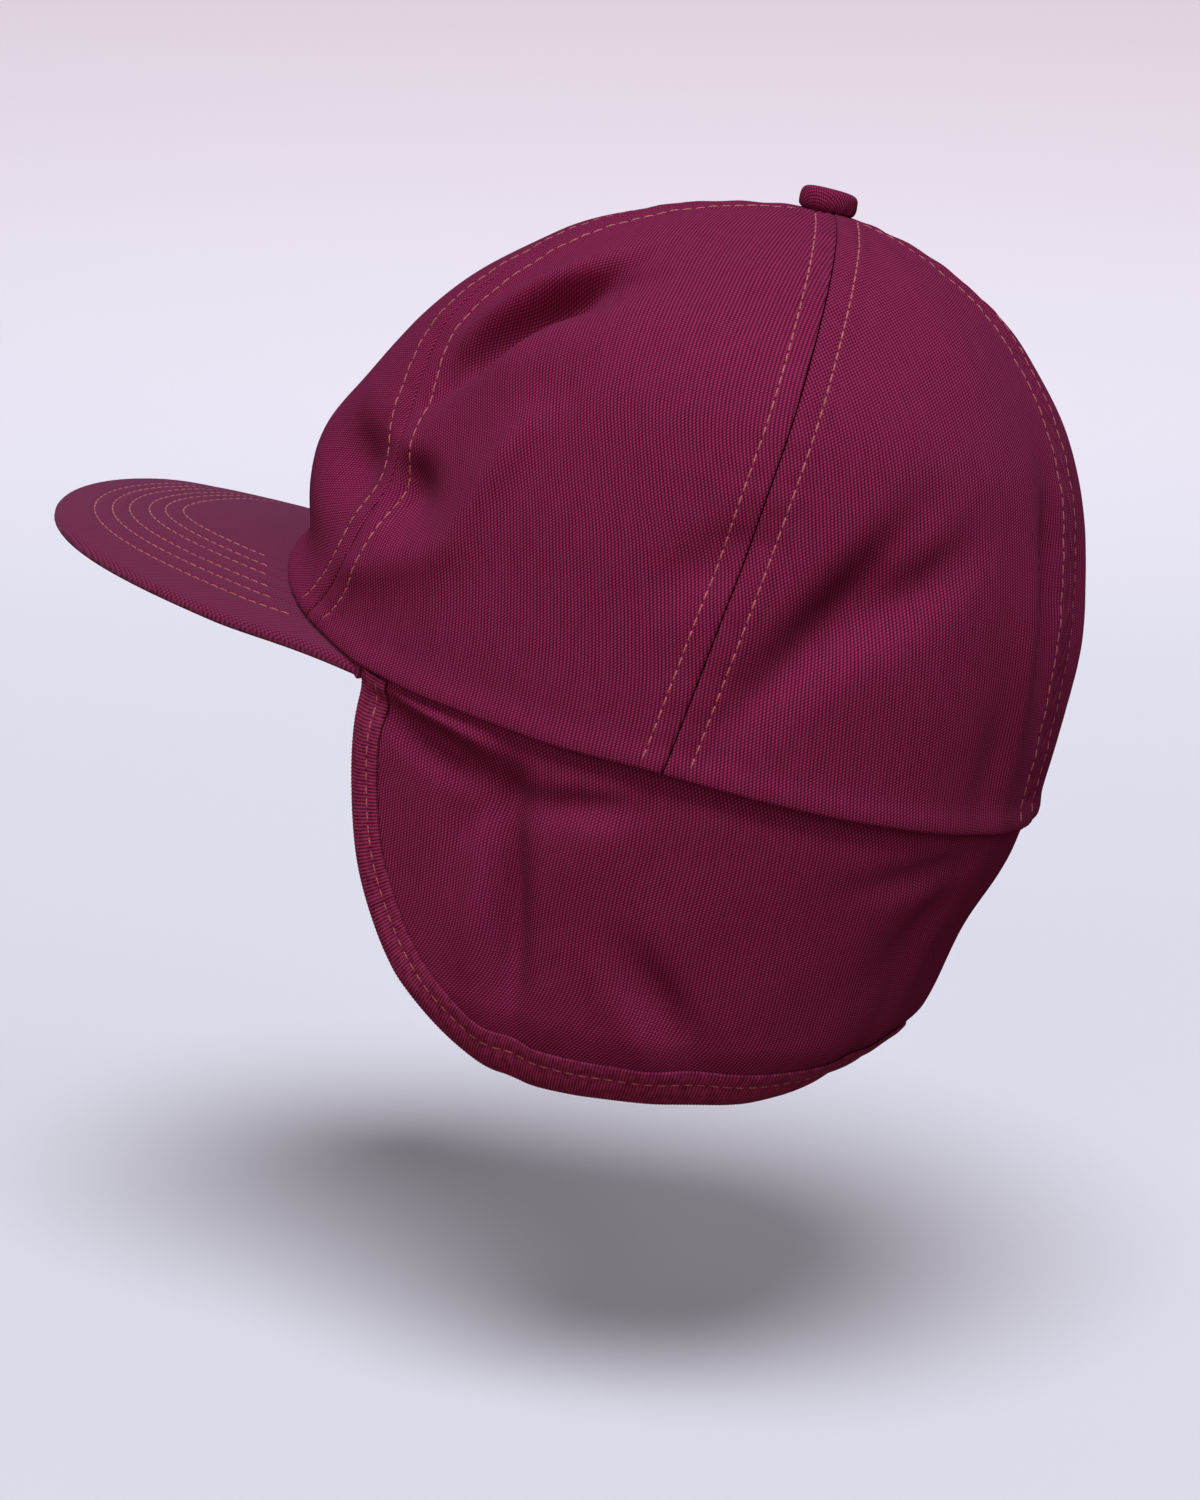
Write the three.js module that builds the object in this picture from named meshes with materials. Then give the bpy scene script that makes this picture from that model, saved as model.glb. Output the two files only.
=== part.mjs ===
// Earflap cap in burgundy cotton twill, in the form it takes when worn: a crown of five sewn panels
// with a covered button, a stiff arched peak, and an ear flap that hangs from temple to temple round
// the back, its edge bound with ribbed tape.
// Millimetres, +Z up. The front faces -Y and the wearer's left is +X. The origin is the middle of the
// head opening. Azimuths are degrees from the front, turning by the wearer's left to the back, and the
// tables give one half of the cap, which the other half mirrors.
import * as THREE from "three";

const WORN_TILT = 13.7; // the cap sits with the front of its rim higher than the back
const GAP = 0.3; // clearance between neighbouring pieces
const CLOTH = 1.6; // crown wall, one layer of twill and its seam allowances

const CROWN_HEIGHT = 129.3;
const CROWN_LEAN = 15.7; // the button stands this far behind the middle of the rim
const CROWN_SQUARENESS = 2.25; // exponent of the level sections, 2 would be an ellipse
const CROWN_TOP = 0.975; // the panels end just short of the middle, under the button

// Level sections of the crown: height as a share of the crown's, and reach from its leaning axis.
const CROWN_SECTIONS = [
  { height: 0.0, front: 102, side: 82.5, back: 105 },
  { height: 0.3, front: 104.3, side: 81, back: 98.2 },
  { height: 0.6, front: 90.8, side: 75, back: 83.6 },
  { height: 0.85, front: 62.7, side: 50, back: 55.9 },
  { height: 1.0, front: 0, side: 0, back: 0 },
];

// Azimuth of the seam between front and side panels, by share of the way up the crown.
const FRONT_SEAM = [
  { up: 0.0, azimuth: 44 },
  { up: 0.17, azimuth: 48.5 },
  { up: 0.32, azimuth: 43.3 },
  { up: 0.45, azimuth: 37.6 },
  { up: 0.65, azimuth: 36.2 },
  { up: 1.0, azimuth: 36 },
];
const REAR_DIP = 1.8; // the rim hangs this much lower at the back
const REAR_SEAM = 117.8; // azimuth of the seam between side and back panels

// Dents and folds of the crown: middle of each (azimuth, share of the way up), lean of its line from
// upright towards the back, half length, half width, and depth (a ridge is negative).
const CROWN_FOLDS = [
  { azimuth: 20, up: 0.055, lean: 90, length: 24, width: 5, depth: 3.4 },
  { azimuth: 22, up: 0.19, lean: 90, length: 24, width: 9, depth: -1.6 },
  { azimuth: 52, up: 0.21, lean: -12, length: 22, width: 11, depth: 7.5 },
  { azimuth: 57, up: 0.43, lean: 18, length: 24, width: 9, depth: 3 },
  { azimuth: 73, up: 0.33, lean: 10, length: 24, width: 10, depth: -1.3 },
  { azimuth: 66, up: 0.12, lean: 75, length: 14, width: 8, depth: -1.5 },
  { azimuth: 138, up: 0.33, lean: 50, length: 20, width: 7, depth: 2.6 },
  { azimuth: 169, up: 0.17, lean: -23, length: 22, width: 5, depth: -1.5 },
];
const FOLD_RADIUS = 86; // radius that turns a fold's azimuth into a length
const MERIDIAN = 165; // length of the crown's wall from rim to button

const PEAK_CORNER = 60.6; // azimuth where the peak's corners meet the rim
const PEAK_REACH = 72.2; // how far the peak stands out in front of the crown
const PEAK_HALF_WIDTH = 79.4;
const PEAK_SQUARENESS = 2.95;
const PEAK_ARCH = 13.6; // rise of the peak's middle over its corners
const PEAK_RISE = 5.4; // lift and droop of the peak for each 100 mm ahead of its corners
const PEAK_DROOP = 6.5;
const PEAK_THICKNESS = 3.2; // board between two layers of cloth
const PEAK_NOSE = 1.2; // thickness left at the rounded front edge
const PEAK_TUCK = 4.5; // the inner edge reaches this far in under the crown

const FLAP_FRONT = 62; // azimuth of the flap's front edge
const FLAP_FULL = 113; // azimuth where its rounded corner ends
const FLAP_CORNER = 2.25; // exponent of that corner
const FLAP_THICKNESS = 2; // two layers of twill
const FLAP_TUCK = 7; // sewn allowance inside the crown
const FLAP_RADIUS = 92; // radius that turns an azimuth on the flap into a length

// The hanging flap: drop of its edge below the rim, and how far that edge is drawn in.
const FLAP_SECTIONS = [
  { azimuth: 62, drop: 83.8, pull: 5.2 },
  { azimuth: 108, drop: 83.8, pull: 8.3 },
  { azimuth: 148, drop: 76.1, pull: 12.4 },
  { azimuth: 180, drop: 67.9, pull: 19.6 },
  { azimuth: 212, drop: 76.1, pull: 12.4 },
];

// Folds of the flap, as those of the crown, with the middle given by its drop below the rim.
const FLAP_FOLDS = [
  { azimuth: 80, drop: 9.5, lean: -80, length: 17, width: 5, depth: 3.4 },
  { azimuth: 99, drop: 40, lean: -14, length: 24, width: 7, depth: 4.2 },
  { azimuth: 87, drop: 40, lean: -10, length: 22, width: 8, depth: -1.8 },
  { azimuth: 110, drop: 26, lean: -10, length: 18, width: 9, depth: -1.2 },
  { azimuth: 113, drop: 9.5, lean: 90, length: 14, width: 4, depth: 1 },
  { azimuth: 159, drop: 10, lean: 35, length: 10, width: 5, depth: 1.6 },
  { azimuth: 180, drop: 57, lean: 90, length: 26, width: 11, depth: -3.4 },
];

const TAPE = 1; // binding tape wall
const TAPE_WIDTH = 8.5; // of each leg that lies on the flap
const TAPE_START = 0.6; // the binding ends this far below the rim

const BUTTON_RADIUS = 7.3;
const BUTTON_HEIGHT = 5.9;
const BUTTON_AHEAD = 1.8; // it is sewn on a little in front of the crown's axis

const TWILL = { color: 0x6d2340, roughness: 0.92, metalness: 0 };
const PEAK_TWILL = { color: 0x6e2844, roughness: 0.92, metalness: 0 };
const GROSGRAIN = { color: 0x641d36, roughness: 0.8, metalness: 0 };

const radians = THREE.MathUtils.degToRad;
const fromFront = (azimuth) => Math.abs(azimuth > 180 ? 360 - azimuth : azimuth);

// A curve through a table's points that doesn't overshoot them.
function smoothCurve(x, y) {
  const last = x.length - 1;
  const chord = x.slice(1).map((_, i) => (y[i + 1] - y[i]) / (x[i + 1] - x[i]));
  const slope = x.map((_, i) => {
    const before = chord[Math.max(i - 1, 0)];
    const after = chord[Math.min(i, last - 1)];
    return before * after > 0 ? 2 / (1 / before + 1 / after) : 0;
  });
  return (at) => {
    const i = Math.min(Math.max(x.findLastIndex((edge) => edge <= at), 0), last - 1);
    const span = x[i + 1] - x[i];
    const s = THREE.MathUtils.clamp((at - x[i]) / span, 0, 1);
    const ease = s * s * (3 - 2 * s);
    const leave = s * (1 - s) * (1 - s) * span * slope[i];
    const arrive = s * s * (1 - s) * span * slope[i + 1];
    return y[i] + (y[i + 1] - y[i]) * ease + leave - arrive;
  };
}

const column = (rows, name) => rows.map((row) => row[name]);

// Squared reaches are smoothed, so that the crown closes to a round top.
function reachCurve(side) {
  const squares = column(CROWN_SECTIONS, side).map((reach) => reach * reach);
  const curve = smoothCurve(column(CROWN_SECTIONS, "height"), squares);
  return (height) => Math.sqrt(Math.max(curve(height), 0));
}

const frontReach = reachCurve("front");
const sideReach = reachCurve("side");
const backReach = reachCurve("back");
const frontSeam = smoothCurve(column(FRONT_SEAM, "up"), column(FRONT_SEAM, "azimuth"));
const flapDrop = smoothCurve(column(FLAP_SECTIONS, "azimuth"), column(FLAP_SECTIONS, "drop"));
const flapPull = smoothCurve(column(FLAP_SECTIONS, "azimuth"), column(FLAP_SECTIONS, "pull"));

// A point of the crown's level section at a height above the rim.
function sectionPoint(azimuth, z) {
  const height = THREE.MathUtils.clamp(z / CROWN_HEIGHT, 0, 1);
  const across = Math.sin(radians(azimuth));
  const ahead = Math.cos(radians(azimuth));
  const reach = ahead > 0 ? frontReach(height) : backReach(height);
  const sum = Math.abs(across / sideReach(height)) ** CROWN_SQUARENESS
    + Math.abs(ahead / reach) ** CROWN_SQUARENESS;
  const radius = sum ** (-1 / CROWN_SQUARENESS);
  return new THREE.Vector3(radius * across, CROWN_LEAN * height - radius * ahead, z);
}

const peakCorner = sectionPoint(PEAK_CORNER, 0);
const peakFront = sectionPoint(0, 0).y - PEAK_REACH;

// Height of the peak's upper face: an arch across, with a slight droop ahead.
function peakTop(x, y) {
  const ahead = (peakCorner.y - y) / 100;
  return PEAK_ARCH * (1 - (x / peakCorner.x) ** 2) + PEAK_RISE * ahead - PEAK_DROOP * ahead * ahead;
}

// The rim lies on the peak in front, is level at the sides and dips a little behind.
function rimHeight(azimuth) {
  const rim = sectionPoint(azimuth, 0);
  const place = fromFront(azimuth);
  const dip = REAR_DIP * THREE.MathUtils.smoothstep(place, 130, 180);
  return GAP + (place < 90 ? Math.max(peakTop(rim.x, rim.y), 0) : -dip);
}

// Sum of the folds at a place that is given by lengths round and up the cloth from each fold's middle.
function foldDepth(folds, offset) {
  let depth = 0;
  for (const fold of folds) {
    const [round, up] = offset(fold);
    const lean = radians(fold.lean);
    const along = (round * Math.sin(lean) + up * Math.cos(lean)) / fold.length;
    const aside = (round * Math.cos(lean) - up * Math.sin(lean)) / fold.width;
    depth += fold.depth * Math.exp(-0.5 * (along * along + aside * aside));
  }
  return depth;
}

// Outward direction of a surface that is given by two parameters, by small steps of each.
function outward(surface, a, b, stepA, stepB) {
  const here = surface(a, b);
  const round = surface(a + stepA, b).sub(here);
  const up = surface(a, b + stepB).sub(here);
  return round.cross(up).normalize();
}

function crownShape(azimuth, up) {
  const rim = rimHeight(azimuth);
  return sectionPoint(azimuth, rim + (CROWN_HEIGHT - rim) * Math.sin(up * Math.PI / 2));
}

// The crown's cloth, set in from its outer face.
function crownPoint(azimuth, up, inset) {
  const depth = foldDepth(CROWN_FOLDS, (fold) => [
    radians(fromFront(azimuth) - fold.azimuth) * FOLD_RADIUS,
    (up - fold.up) * MERIDIAN,
  ]);
  const point = crownShape(azimuth, up);
  point.addScaledVector(outward(crownShape, azimuth, up, 0.01, 1e-4), -inset - depth);
  if (up === 0 && fromFront(azimuth) < 90) {
    point.z = Math.max(point.z, peakTop(point.x, point.y) + GAP);
  }
  return point;
}

function flapShape(azimuth, drop) {
  const inside = CLOTH + 1.3 * GAP;
  if (drop < 0) {
    const rim = rimHeight(azimuth);
    return crownPoint(azimuth, Math.asin(-drop / (CROWN_HEIGHT - rim)) * 2 / Math.PI, inside);
  }
  const place = fromFront(azimuth);
  const point = crownPoint(azimuth, 0, inside);
  const pull = flapPull(place) * (drop / flapDrop(place)) ** 1.3;
  const distance = Math.hypot(point.x, point.y);
  const shrink = (distance - pull) / distance;
  return new THREE.Vector3(point.x * shrink, point.y * shrink, point.z - drop);
}

// The flap's cloth, set in from its outer face. The folds fade out under the crown's edge.
function flapPoint(azimuth, drop, inset) {
  const depth = foldDepth(FLAP_FOLDS, (fold) => [
    radians(fromFront(azimuth) - fold.azimuth) * FLAP_RADIUS,
    fold.drop - drop,
  ]);
  const fade = THREE.MathUtils.smoothstep(drop, 0, 6);
  const point = flapShape(azimuth, drop);
  const out = outward(flapShape, azimuth, drop, 0.01, -0.01);
  return point.addScaledVector(out, -inset - depth * fade);
}

// A closed wall between two grids of points. Columns run round the cap and rows run upwards, so that
// the first grid is its outer face.
function wallGeometry(outer, inner) {
  const columns = outer.length;
  const rows = outer[0].length;
  const positions = [...outer.flat(), ...inner.flat()].flatMap((point) => point.toArray());
  const face = (i, j) => i * rows + j;
  const back = (i, j) => columns * rows + i * rows + j;
  const index = [];
  const quad = (a, b, c, d) => index.push(a, b, c, a, c, d);
  for (let i = 0; i < columns - 1; i++) {
    for (let j = 0; j < rows - 1; j++) {
      quad(face(i, j), face(i + 1, j), face(i + 1, j + 1), face(i, j + 1));
      quad(back(i, j), back(i, j + 1), back(i + 1, j + 1), back(i + 1, j));
    }
    quad(back(i, 0), back(i + 1, 0), face(i + 1, 0), face(i, 0));
    quad(face(i, rows - 1), face(i + 1, rows - 1), back(i + 1, rows - 1), back(i, rows - 1));
  }
  for (let j = 0; j < rows - 1; j++) {
    const end = columns - 1;
    quad(back(0, j), face(0, j), face(0, j + 1), back(0, j + 1));
    quad(face(end, j), back(end, j), back(end, j + 1), face(end, j + 1));
  }
  const geometry = new THREE.BufferGeometry();
  geometry.setAttribute("position", new THREE.Float32BufferAttribute(positions, 3));
  geometry.setIndex(index);
  geometry.computeVertexNormals();
  return geometry;
}

const grid = (columns, rows, at) => Array.from({ length: columns + 1 }, (_, i) =>
  Array.from({ length: rows + 1 }, (_, j) => at(i / columns, j / rows)));

// One crown panel between two seams, each a function of the share of the way up.
function panelGeometry(start, end, columns) {
  const rows = 18;
  const place = (inset) => grid(columns, rows, (across, share) => {
    const up = share * CROWN_TOP;
    const mean = (start(up) + end(up)) / 2;
    const middle = crownShape(mean, up);
    const radius = Math.hypot(middle.x, middle.y - CROWN_LEAN * middle.z / CROWN_HEIGHT);
    const margin = THREE.MathUtils.radToDeg(GAP / 2 / radius);
    const azimuth = THREE.MathUtils.lerp(start(up) + margin, end(up) - margin, across);
    return crownPoint(azimuth, up, inset);
  });
  return wallGeometry(place(0), place(CLOTH));
}

// The flap's edge as a flat curve: length round the cap, and height below the rim as a negative number.
function flapOutline() {
  const half = [];
  const corner = radians(FLAP_FULL - FLAP_FRONT) * FLAP_RADIUS;
  for (let turn = 0; turn < 90; turn += 6) {
    const ahead = Math.cos(radians(turn)) ** (2 / FLAP_CORNER);
    const azimuth = FLAP_FULL - (FLAP_FULL - FLAP_FRONT) * ahead;
    const drop = flapDrop(azimuth) * Math.sin(radians(turn)) ** (2 / FLAP_CORNER);
    half.push(new THREE.Vector2(corner * (1 - ahead), -drop));
  }
  for (let azimuth = FLAP_FULL; azimuth < 179; azimuth += (180 - FLAP_FULL) / 8) {
    half.push(new THREE.Vector2(radians(azimuth - FLAP_FRONT) * FLAP_RADIUS, -flapDrop(azimuth)));
  }
  const middle = radians(180 - FLAP_FRONT) * FLAP_RADIUS;
  const other = half.map((point) => new THREE.Vector2(2 * middle - point.x, point.y)).reverse();
  return new THREE.SplineCurve([...half, new THREE.Vector2(middle, -flapDrop(180)), ...other]);
}

const outline = flapOutline();
const BAND_COLUMNS = 58; // the flap and its binding share their columns
const outlineAzimuth = (length) => FLAP_FRONT + THREE.MathUtils.radToDeg(length / FLAP_RADIUS);

// Azimuth and drop of a place on the flap, a share of the way along its edge and a distance in from it.
function bandPlace(share, distance) {
  const edge = outline.getPointAt(share);
  const tangent = outline.getTangentAt(share);
  const azimuth = outlineAzimuth(edge.x - tangent.y * distance);
  return { azimuth, drop: -edge.y - tangent.x * distance };
}

// The lowest rows follow the binding, and those above them climb to the sewn edge inside the crown.
function flapGeometry() {
  const legs = [0, TAPE_WIDTH / 2, TAPE_WIDTH];
  const rows = 8;
  const sewnFront = outlineAzimuth(TAPE_WIDTH);
  const place = (inset) => grid(BAND_COLUMNS, rows, (share, up) => {
    const row = Math.round(up * rows);
    const foot = bandPlace(share, legs[Math.min(row, 2)]);
    const climb = Math.max(row - 2, 0) / (rows - 2);
    const sewn = THREE.MathUtils.lerp(sewnFront, 360 - sewnFront, share);
    const azimuth = THREE.MathUtils.lerp(foot.azimuth, sewn, climb);
    return flapPoint(azimuth, THREE.MathUtils.lerp(foot.drop, -FLAP_TUCK, climb), inset);
  });
  return wallGeometry(place(0), place(FLAP_THICKNESS));
}

// Tape folded over the flap's edge. Each section runs down the inner leg from its free end, round the
// edge and up the outer leg; face is the tape's side that lies on the flap, and back its other side.
function bindingGeometry() {
  const inside = FLAP_THICKNESS + GAP;
  const fold = [
    { leg: TAPE_WIDTH, turn: 0, face: inside, back: inside + TAPE },
    { leg: TAPE_WIDTH / 2, turn: 0, face: inside, back: inside + TAPE },
    { leg: -GAP, turn: TAPE, face: inside, back: inside + TAPE / 2 },
    { leg: -GAP, turn: TAPE, face: -GAP, back: -GAP - TAPE / 2 },
    { leg: TAPE_WIDTH / 2, turn: 0, face: -GAP, back: -GAP - TAPE },
    { leg: TAPE_WIDTH, turn: 0, face: -GAP, back: -GAP - TAPE },
  ];
  const place = (isBack) => grid(BAND_COLUMNS, fold.length - 1, (share, across) => {
    const row = fold[Math.round(across * (fold.length - 1))];
    const spot = bandPlace(share, row.leg - (isBack ? row.turn : 0));
    return flapPoint(spot.azimuth, Math.max(spot.drop, TAPE_START), isBack ? row.back : row.face);
  });
  return wallGeometry(place(true), place(false));
}

function peakGeometry() {
  const inward = [1, 0.97, 0.8, 0.6, 0.4, 0.2, 0];
  const place = (isTop) => grid(30, inward.length - 1, (across, share) => {
    const side = 2 * across - 1;
    const reach = inward[Math.round(share * (inward.length - 1))];
    const rim = sectionPoint(side * PEAK_CORNER, 0);
    const tuck = PEAK_TUCK * (1 - 0.7 * side * side * side * side);
    rim.multiplyScalar(1 - tuck / Math.hypot(rim.x, rim.y));
    const turn = side * Math.PI / 2;
    const power = 2 / PEAK_SQUARENESS;
    const taper = (PEAK_HALF_WIDTH - peakCorner.x) * THREE.MathUtils.smoothstep(Math.abs(side), 0.88, 1);
    const edgeX = PEAK_HALF_WIDTH * Math.sign(turn) * Math.abs(Math.sin(turn)) ** power;
    const edgeY = THREE.MathUtils.lerp(peakCorner.y, peakFront, Math.abs(Math.cos(turn)) ** power);
    const x = THREE.MathUtils.lerp(rim.x, edgeX - Math.sign(side) * taper, reach);
    const y = THREE.MathUtils.lerp(rim.y, edgeY, reach);
    const shave = reach === 1 ? (PEAK_THICKNESS - PEAK_NOSE) / 2 : 0;
    const z = peakTop(x, y) - (isTop ? shave : PEAK_THICKNESS - shave);
    return new THREE.Vector3(x, y, z);
  });
  return wallGeometry(place(true), place(false));
}

// A flattened dome, slightly hollow underneath to sit on the crown.
function buttonGeometry() {
  const profile = new THREE.SplineCurve([
    new THREE.Vector2(BUTTON_RADIUS * 0.8, 0),
    new THREE.Vector2(BUTTON_RADIUS * 0.97, BUTTON_HEIGHT * 0.22),
    new THREE.Vector2(BUTTON_RADIUS, BUTTON_HEIGHT * 0.45),
    new THREE.Vector2(BUTTON_RADIUS * 0.86, BUTTON_HEIGHT * 0.8),
    new THREE.Vector2(BUTTON_RADIUS * 0.5, BUTTON_HEIGHT * 0.97),
    new THREE.Vector2(0, BUTTON_HEIGHT),
  ]);
  const hollow = new THREE.Vector2(0, GAP);
  const points = [hollow, ...profile.getPoints(9)];
  points.at(-1).x = 0;
  return new THREE.LatheGeometry(points, 24).rotateX(Math.PI / 2);
}

function addPiece(name, geometry, look) {
  const mesh = new THREE.Mesh(geometry, new THREE.MeshStandardMaterial(look));
  mesh.name = name;
  cap.add(mesh);
  return mesh;
}

const cap = new THREE.Group();
cap.rotation.x = -radians(WORN_TILT);

const otherFrontSeam = (up) => 360 - frontSeam(up);
const rearSeam = () => REAR_SEAM;
const otherRearSeam = () => 360 - REAR_SEAM;
const backSeam = () => 180;
addPiece("crown_front_panel", panelGeometry((up) => -frontSeam(up), frontSeam, 18), TWILL);
addPiece("crown_side_panel_left", panelGeometry(frontSeam, rearSeam, 14), TWILL);
addPiece("crown_back_panel_left", panelGeometry(rearSeam, backSeam, 12), TWILL);
addPiece("crown_back_panel_right", panelGeometry(backSeam, otherRearSeam, 12), TWILL);
addPiece("crown_side_panel_right", panelGeometry(otherRearSeam, otherFrontSeam, 14), TWILL);
addPiece("peak", peakGeometry(), PEAK_TWILL);
addPiece("ear_flap", flapGeometry(), TWILL);
addPiece("flap_binding", bindingGeometry(), GROSGRAIN);
const button = addPiece("top_button", buttonGeometry(), TWILL);
button.position.set(0, CROWN_LEAN - BUTTON_AHEAD, CROWN_HEIGHT + GAP / 2);

const part = new THREE.Group();
part.add(cap);
export default part;
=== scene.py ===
# %% [markdown]
# # Earflap cap in burgundy cotton twill
# The cap is sewn from flat cloth: five crown panels, a button, a stiff peak, and an ear flap with a
# ribbed binding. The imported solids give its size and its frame. This script lays finished cloth over
# them: the same surfaces, with finer folds, seams, stitches and a weave.

import bpy
import numpy as np
from mathutils import Matrix


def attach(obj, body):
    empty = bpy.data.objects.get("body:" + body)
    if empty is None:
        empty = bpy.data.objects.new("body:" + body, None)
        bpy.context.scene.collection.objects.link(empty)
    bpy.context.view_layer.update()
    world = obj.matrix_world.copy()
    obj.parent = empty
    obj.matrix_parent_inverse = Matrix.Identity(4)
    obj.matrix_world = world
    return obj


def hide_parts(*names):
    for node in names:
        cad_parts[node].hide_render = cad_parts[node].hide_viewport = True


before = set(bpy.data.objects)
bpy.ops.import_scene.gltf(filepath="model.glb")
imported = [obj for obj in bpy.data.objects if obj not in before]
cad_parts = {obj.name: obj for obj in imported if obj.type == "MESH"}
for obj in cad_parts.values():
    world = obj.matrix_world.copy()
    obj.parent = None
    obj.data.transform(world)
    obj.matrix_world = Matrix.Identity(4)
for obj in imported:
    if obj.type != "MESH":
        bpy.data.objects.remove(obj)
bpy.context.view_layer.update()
print(len(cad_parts), "solids in the frame")

# %% [markdown]
# ## Camera
# The photograph was taken from behind the wearer's left side, a little above the rim. A camera can be
# aimed by angles, but here its axes are written out as directions of the part's frame, which keeps
# its slight roll.

# %% Camera
PHOTO_HEIGHT = 1500  # pixels
FOCAL_PIXELS = 2186
SENSOR = 36  # millimetres
CAMERA_PLACE = (0.52032, 0.24123, 0.06617)
CAMERA_RIGHT = (-0.44335233, 0.89591317, 0.0278982)
CAMERA_DOWN = (0.11496835, 0.08770546, -0.98948978)
CAMERA_LOOK = (-0.88894375, -0.43548519, -0.14188607)

camera = bpy.data.objects.new("photo_camera", bpy.data.cameras.new("photo_camera"))
bpy.context.collection.objects.link(camera)
camera_axes = np.array([CAMERA_RIGHT, np.negative(CAMERA_DOWN), np.negative(CAMERA_LOOK)]).T
camera.matrix_world = Matrix.Translation(CAMERA_PLACE) @ Matrix(camera_axes.tolist()).to_4x4()
camera.data.sensor_fit = "VERTICAL"
camera.data.sensor_height = SENSOR
camera.data.lens = SENSOR * FOCAL_PIXELS / PHOTO_HEIGHT
bpy.context.scene.camera = camera
print(f"lens {camera.data.lens:.2f} mm")

# %% [markdown]
# ## Tools for meshes
# Every piece is a grid of points worked out by numpy in millimetres, with the cap level. Faces could be
# added one by one, but a mesh filled from whole arrays is made much faster. One function tilts the
# points to the worn pose and scales them to metres. Another turns two grids, an outer and an inner
# face, into one closed wall, as real cloth has a thickness.

# %% Worn pose
MM = 0.001  # metres
WORN_TILT = np.radians(13.7)


def worn(points):
    """Level millimetres to metres of the part: a turn about X that lifts the front."""
    x, y, z = np.moveaxis(np.asarray(points, float), -1, 0)
    cos, sin = np.cos(WORN_TILT), np.sin(WORN_TILT)
    return np.stack([x, y * cos + z * sin, z * cos - y * sin], -1) * MM


print("a point 100 mm ahead is worn at", worn([0, -100, 0]).round(4))

# %% Mesh from arrays
SHARP_EDGE = np.radians(60)


def mesh_piece(name, points, faces, uv, material, nodes=(), painted_crease_shade=None):
    """A piece from arrays: points, corners of faces, cloth lengths in mm, and shares of painted crease
    shade.
    """
    corners = np.concatenate([part.ravel() for part in faces])
    sizes = np.concatenate([np.full(len(part), part.shape[1]) for part in faces])
    mesh = bpy.data.meshes.new(name)
    mesh.vertices.add(len(points))
    mesh.vertices.foreach_set("co", worn(points).ravel())
    mesh.loops.add(len(corners))
    mesh.loops.foreach_set("vertex_index", corners.astype(np.int32))
    mesh.polygons.add(len(sizes))
    mesh.polygons.foreach_set("loop_start", (np.cumsum(sizes) - sizes).astype(np.int32))
    mesh.polygons.foreach_set("use_smooth", np.ones(len(sizes), bool))
    mesh.update(calc_edges=True)
    mesh.uv_layers.new(name="cloth").data.foreach_set("uv", uv[corners].astype(np.float32).ravel())
    # Painted shade: the share by which each point's colour is darkened in the creases.
    if painted_crease_shade is not None:
        shares = mesh.attributes.new("painted_crease_shade", "FLOAT", "POINT")
        shares.data.foreach_set("value", painted_crease_shade.astype(np.float32))
    mesh.set_sharp_from_angle(angle=SHARP_EDGE)
    mesh.materials.append(material)
    piece = bpy.data.objects.new(name, mesh)
    bpy.context.collection.objects.link(piece)
    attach(piece, "root")
    if nodes:
        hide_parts(*nodes)
    print(f"{name}: {int((sizes - 2).sum())} triangles")
    return piece


# %% Closed wall
def quads(a, b, c, d):
    """Faces of four corners each, from four arrays of corners."""
    return np.stack([a, b, c, d], -1).reshape(-1, 4)


def wall_piece(name, outer, inner, uv, material, nodes=(), painted_crease_shade=None):
    """A closed wall: quads on both grids, and strips that join their four edges."""
    columns, rows = outer.shape[:2]
    face = np.arange(columns * rows).reshape(columns, rows)
    back = face + columns * rows
    faces = np.concatenate([
        quads(face[:-1, :-1], face[1:, :-1], face[1:, 1:], face[:-1, 1:]),
        quads(back[:-1, :-1], back[:-1, 1:], back[1:, 1:], back[1:, :-1]),
        quads(back[:-1, 0], back[1:, 0], face[1:, 0], face[:-1, 0]),
        quads(face[:-1, -1], face[1:, -1], back[1:, -1], back[:-1, -1]),
        quads(back[0, :-1], face[0, :-1], face[0, 1:], back[0, 1:]),
        quads(face[-1, :-1], back[-1, :-1], back[-1, 1:], face[-1, 1:]),
    ])
    points = np.concatenate([outer.reshape(-1, 3), inner.reshape(-1, 3)])
    flat = uv.reshape(-1, 2)
    if painted_crease_shade is not None:
        painted_crease_shade = np.concatenate([painted_crease_shade.ravel(), painted_crease_shade.ravel()])
    return mesh_piece(name, points, [faces], np.concatenate([flat, flat]), material, nodes, painted_crease_shade)


# %% Lengths and areas
def steps(points, axis):
    """Running length in millimetres along one axis of a grid of points."""
    length = np.linalg.norm(np.diff(points, axis=axis), axis=-1)
    return np.insert(np.cumsum(length, axis=axis), 0, 0, axis=axis)


def surface_area(points):
    """Area of a grid of points: half the cross product of each cell's two diagonals."""
    one = points[1:, 1:] - points[:-1, :-1]
    other = points[:-1, 1:] - points[1:, :-1]
    return 0.5 * np.linalg.norm(np.cross(one, other), axis=-1).sum()


square = np.array([[[0, 0, 0], [0, 2, 0]], [[2, 0, 0], [2, 2, 0]]])
print("a square of 2 mm measures", surface_area(square), "square mm")

# %% [markdown]
# ## Cotton twill
# Twill is woven so that each thread's float steps sideways in the next row, which gives fine ribs. A
# picture of the cloth would do, but a weave that is worked out stays sharp. Three cosine waves on
# the cloth's own coordinates add up to ribs that are broken into dots. They drive the colour, because
# the gaps between threads are dark, and a small bump. Loose fibres give cotton its pale sheen at
# grazing angles.

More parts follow.
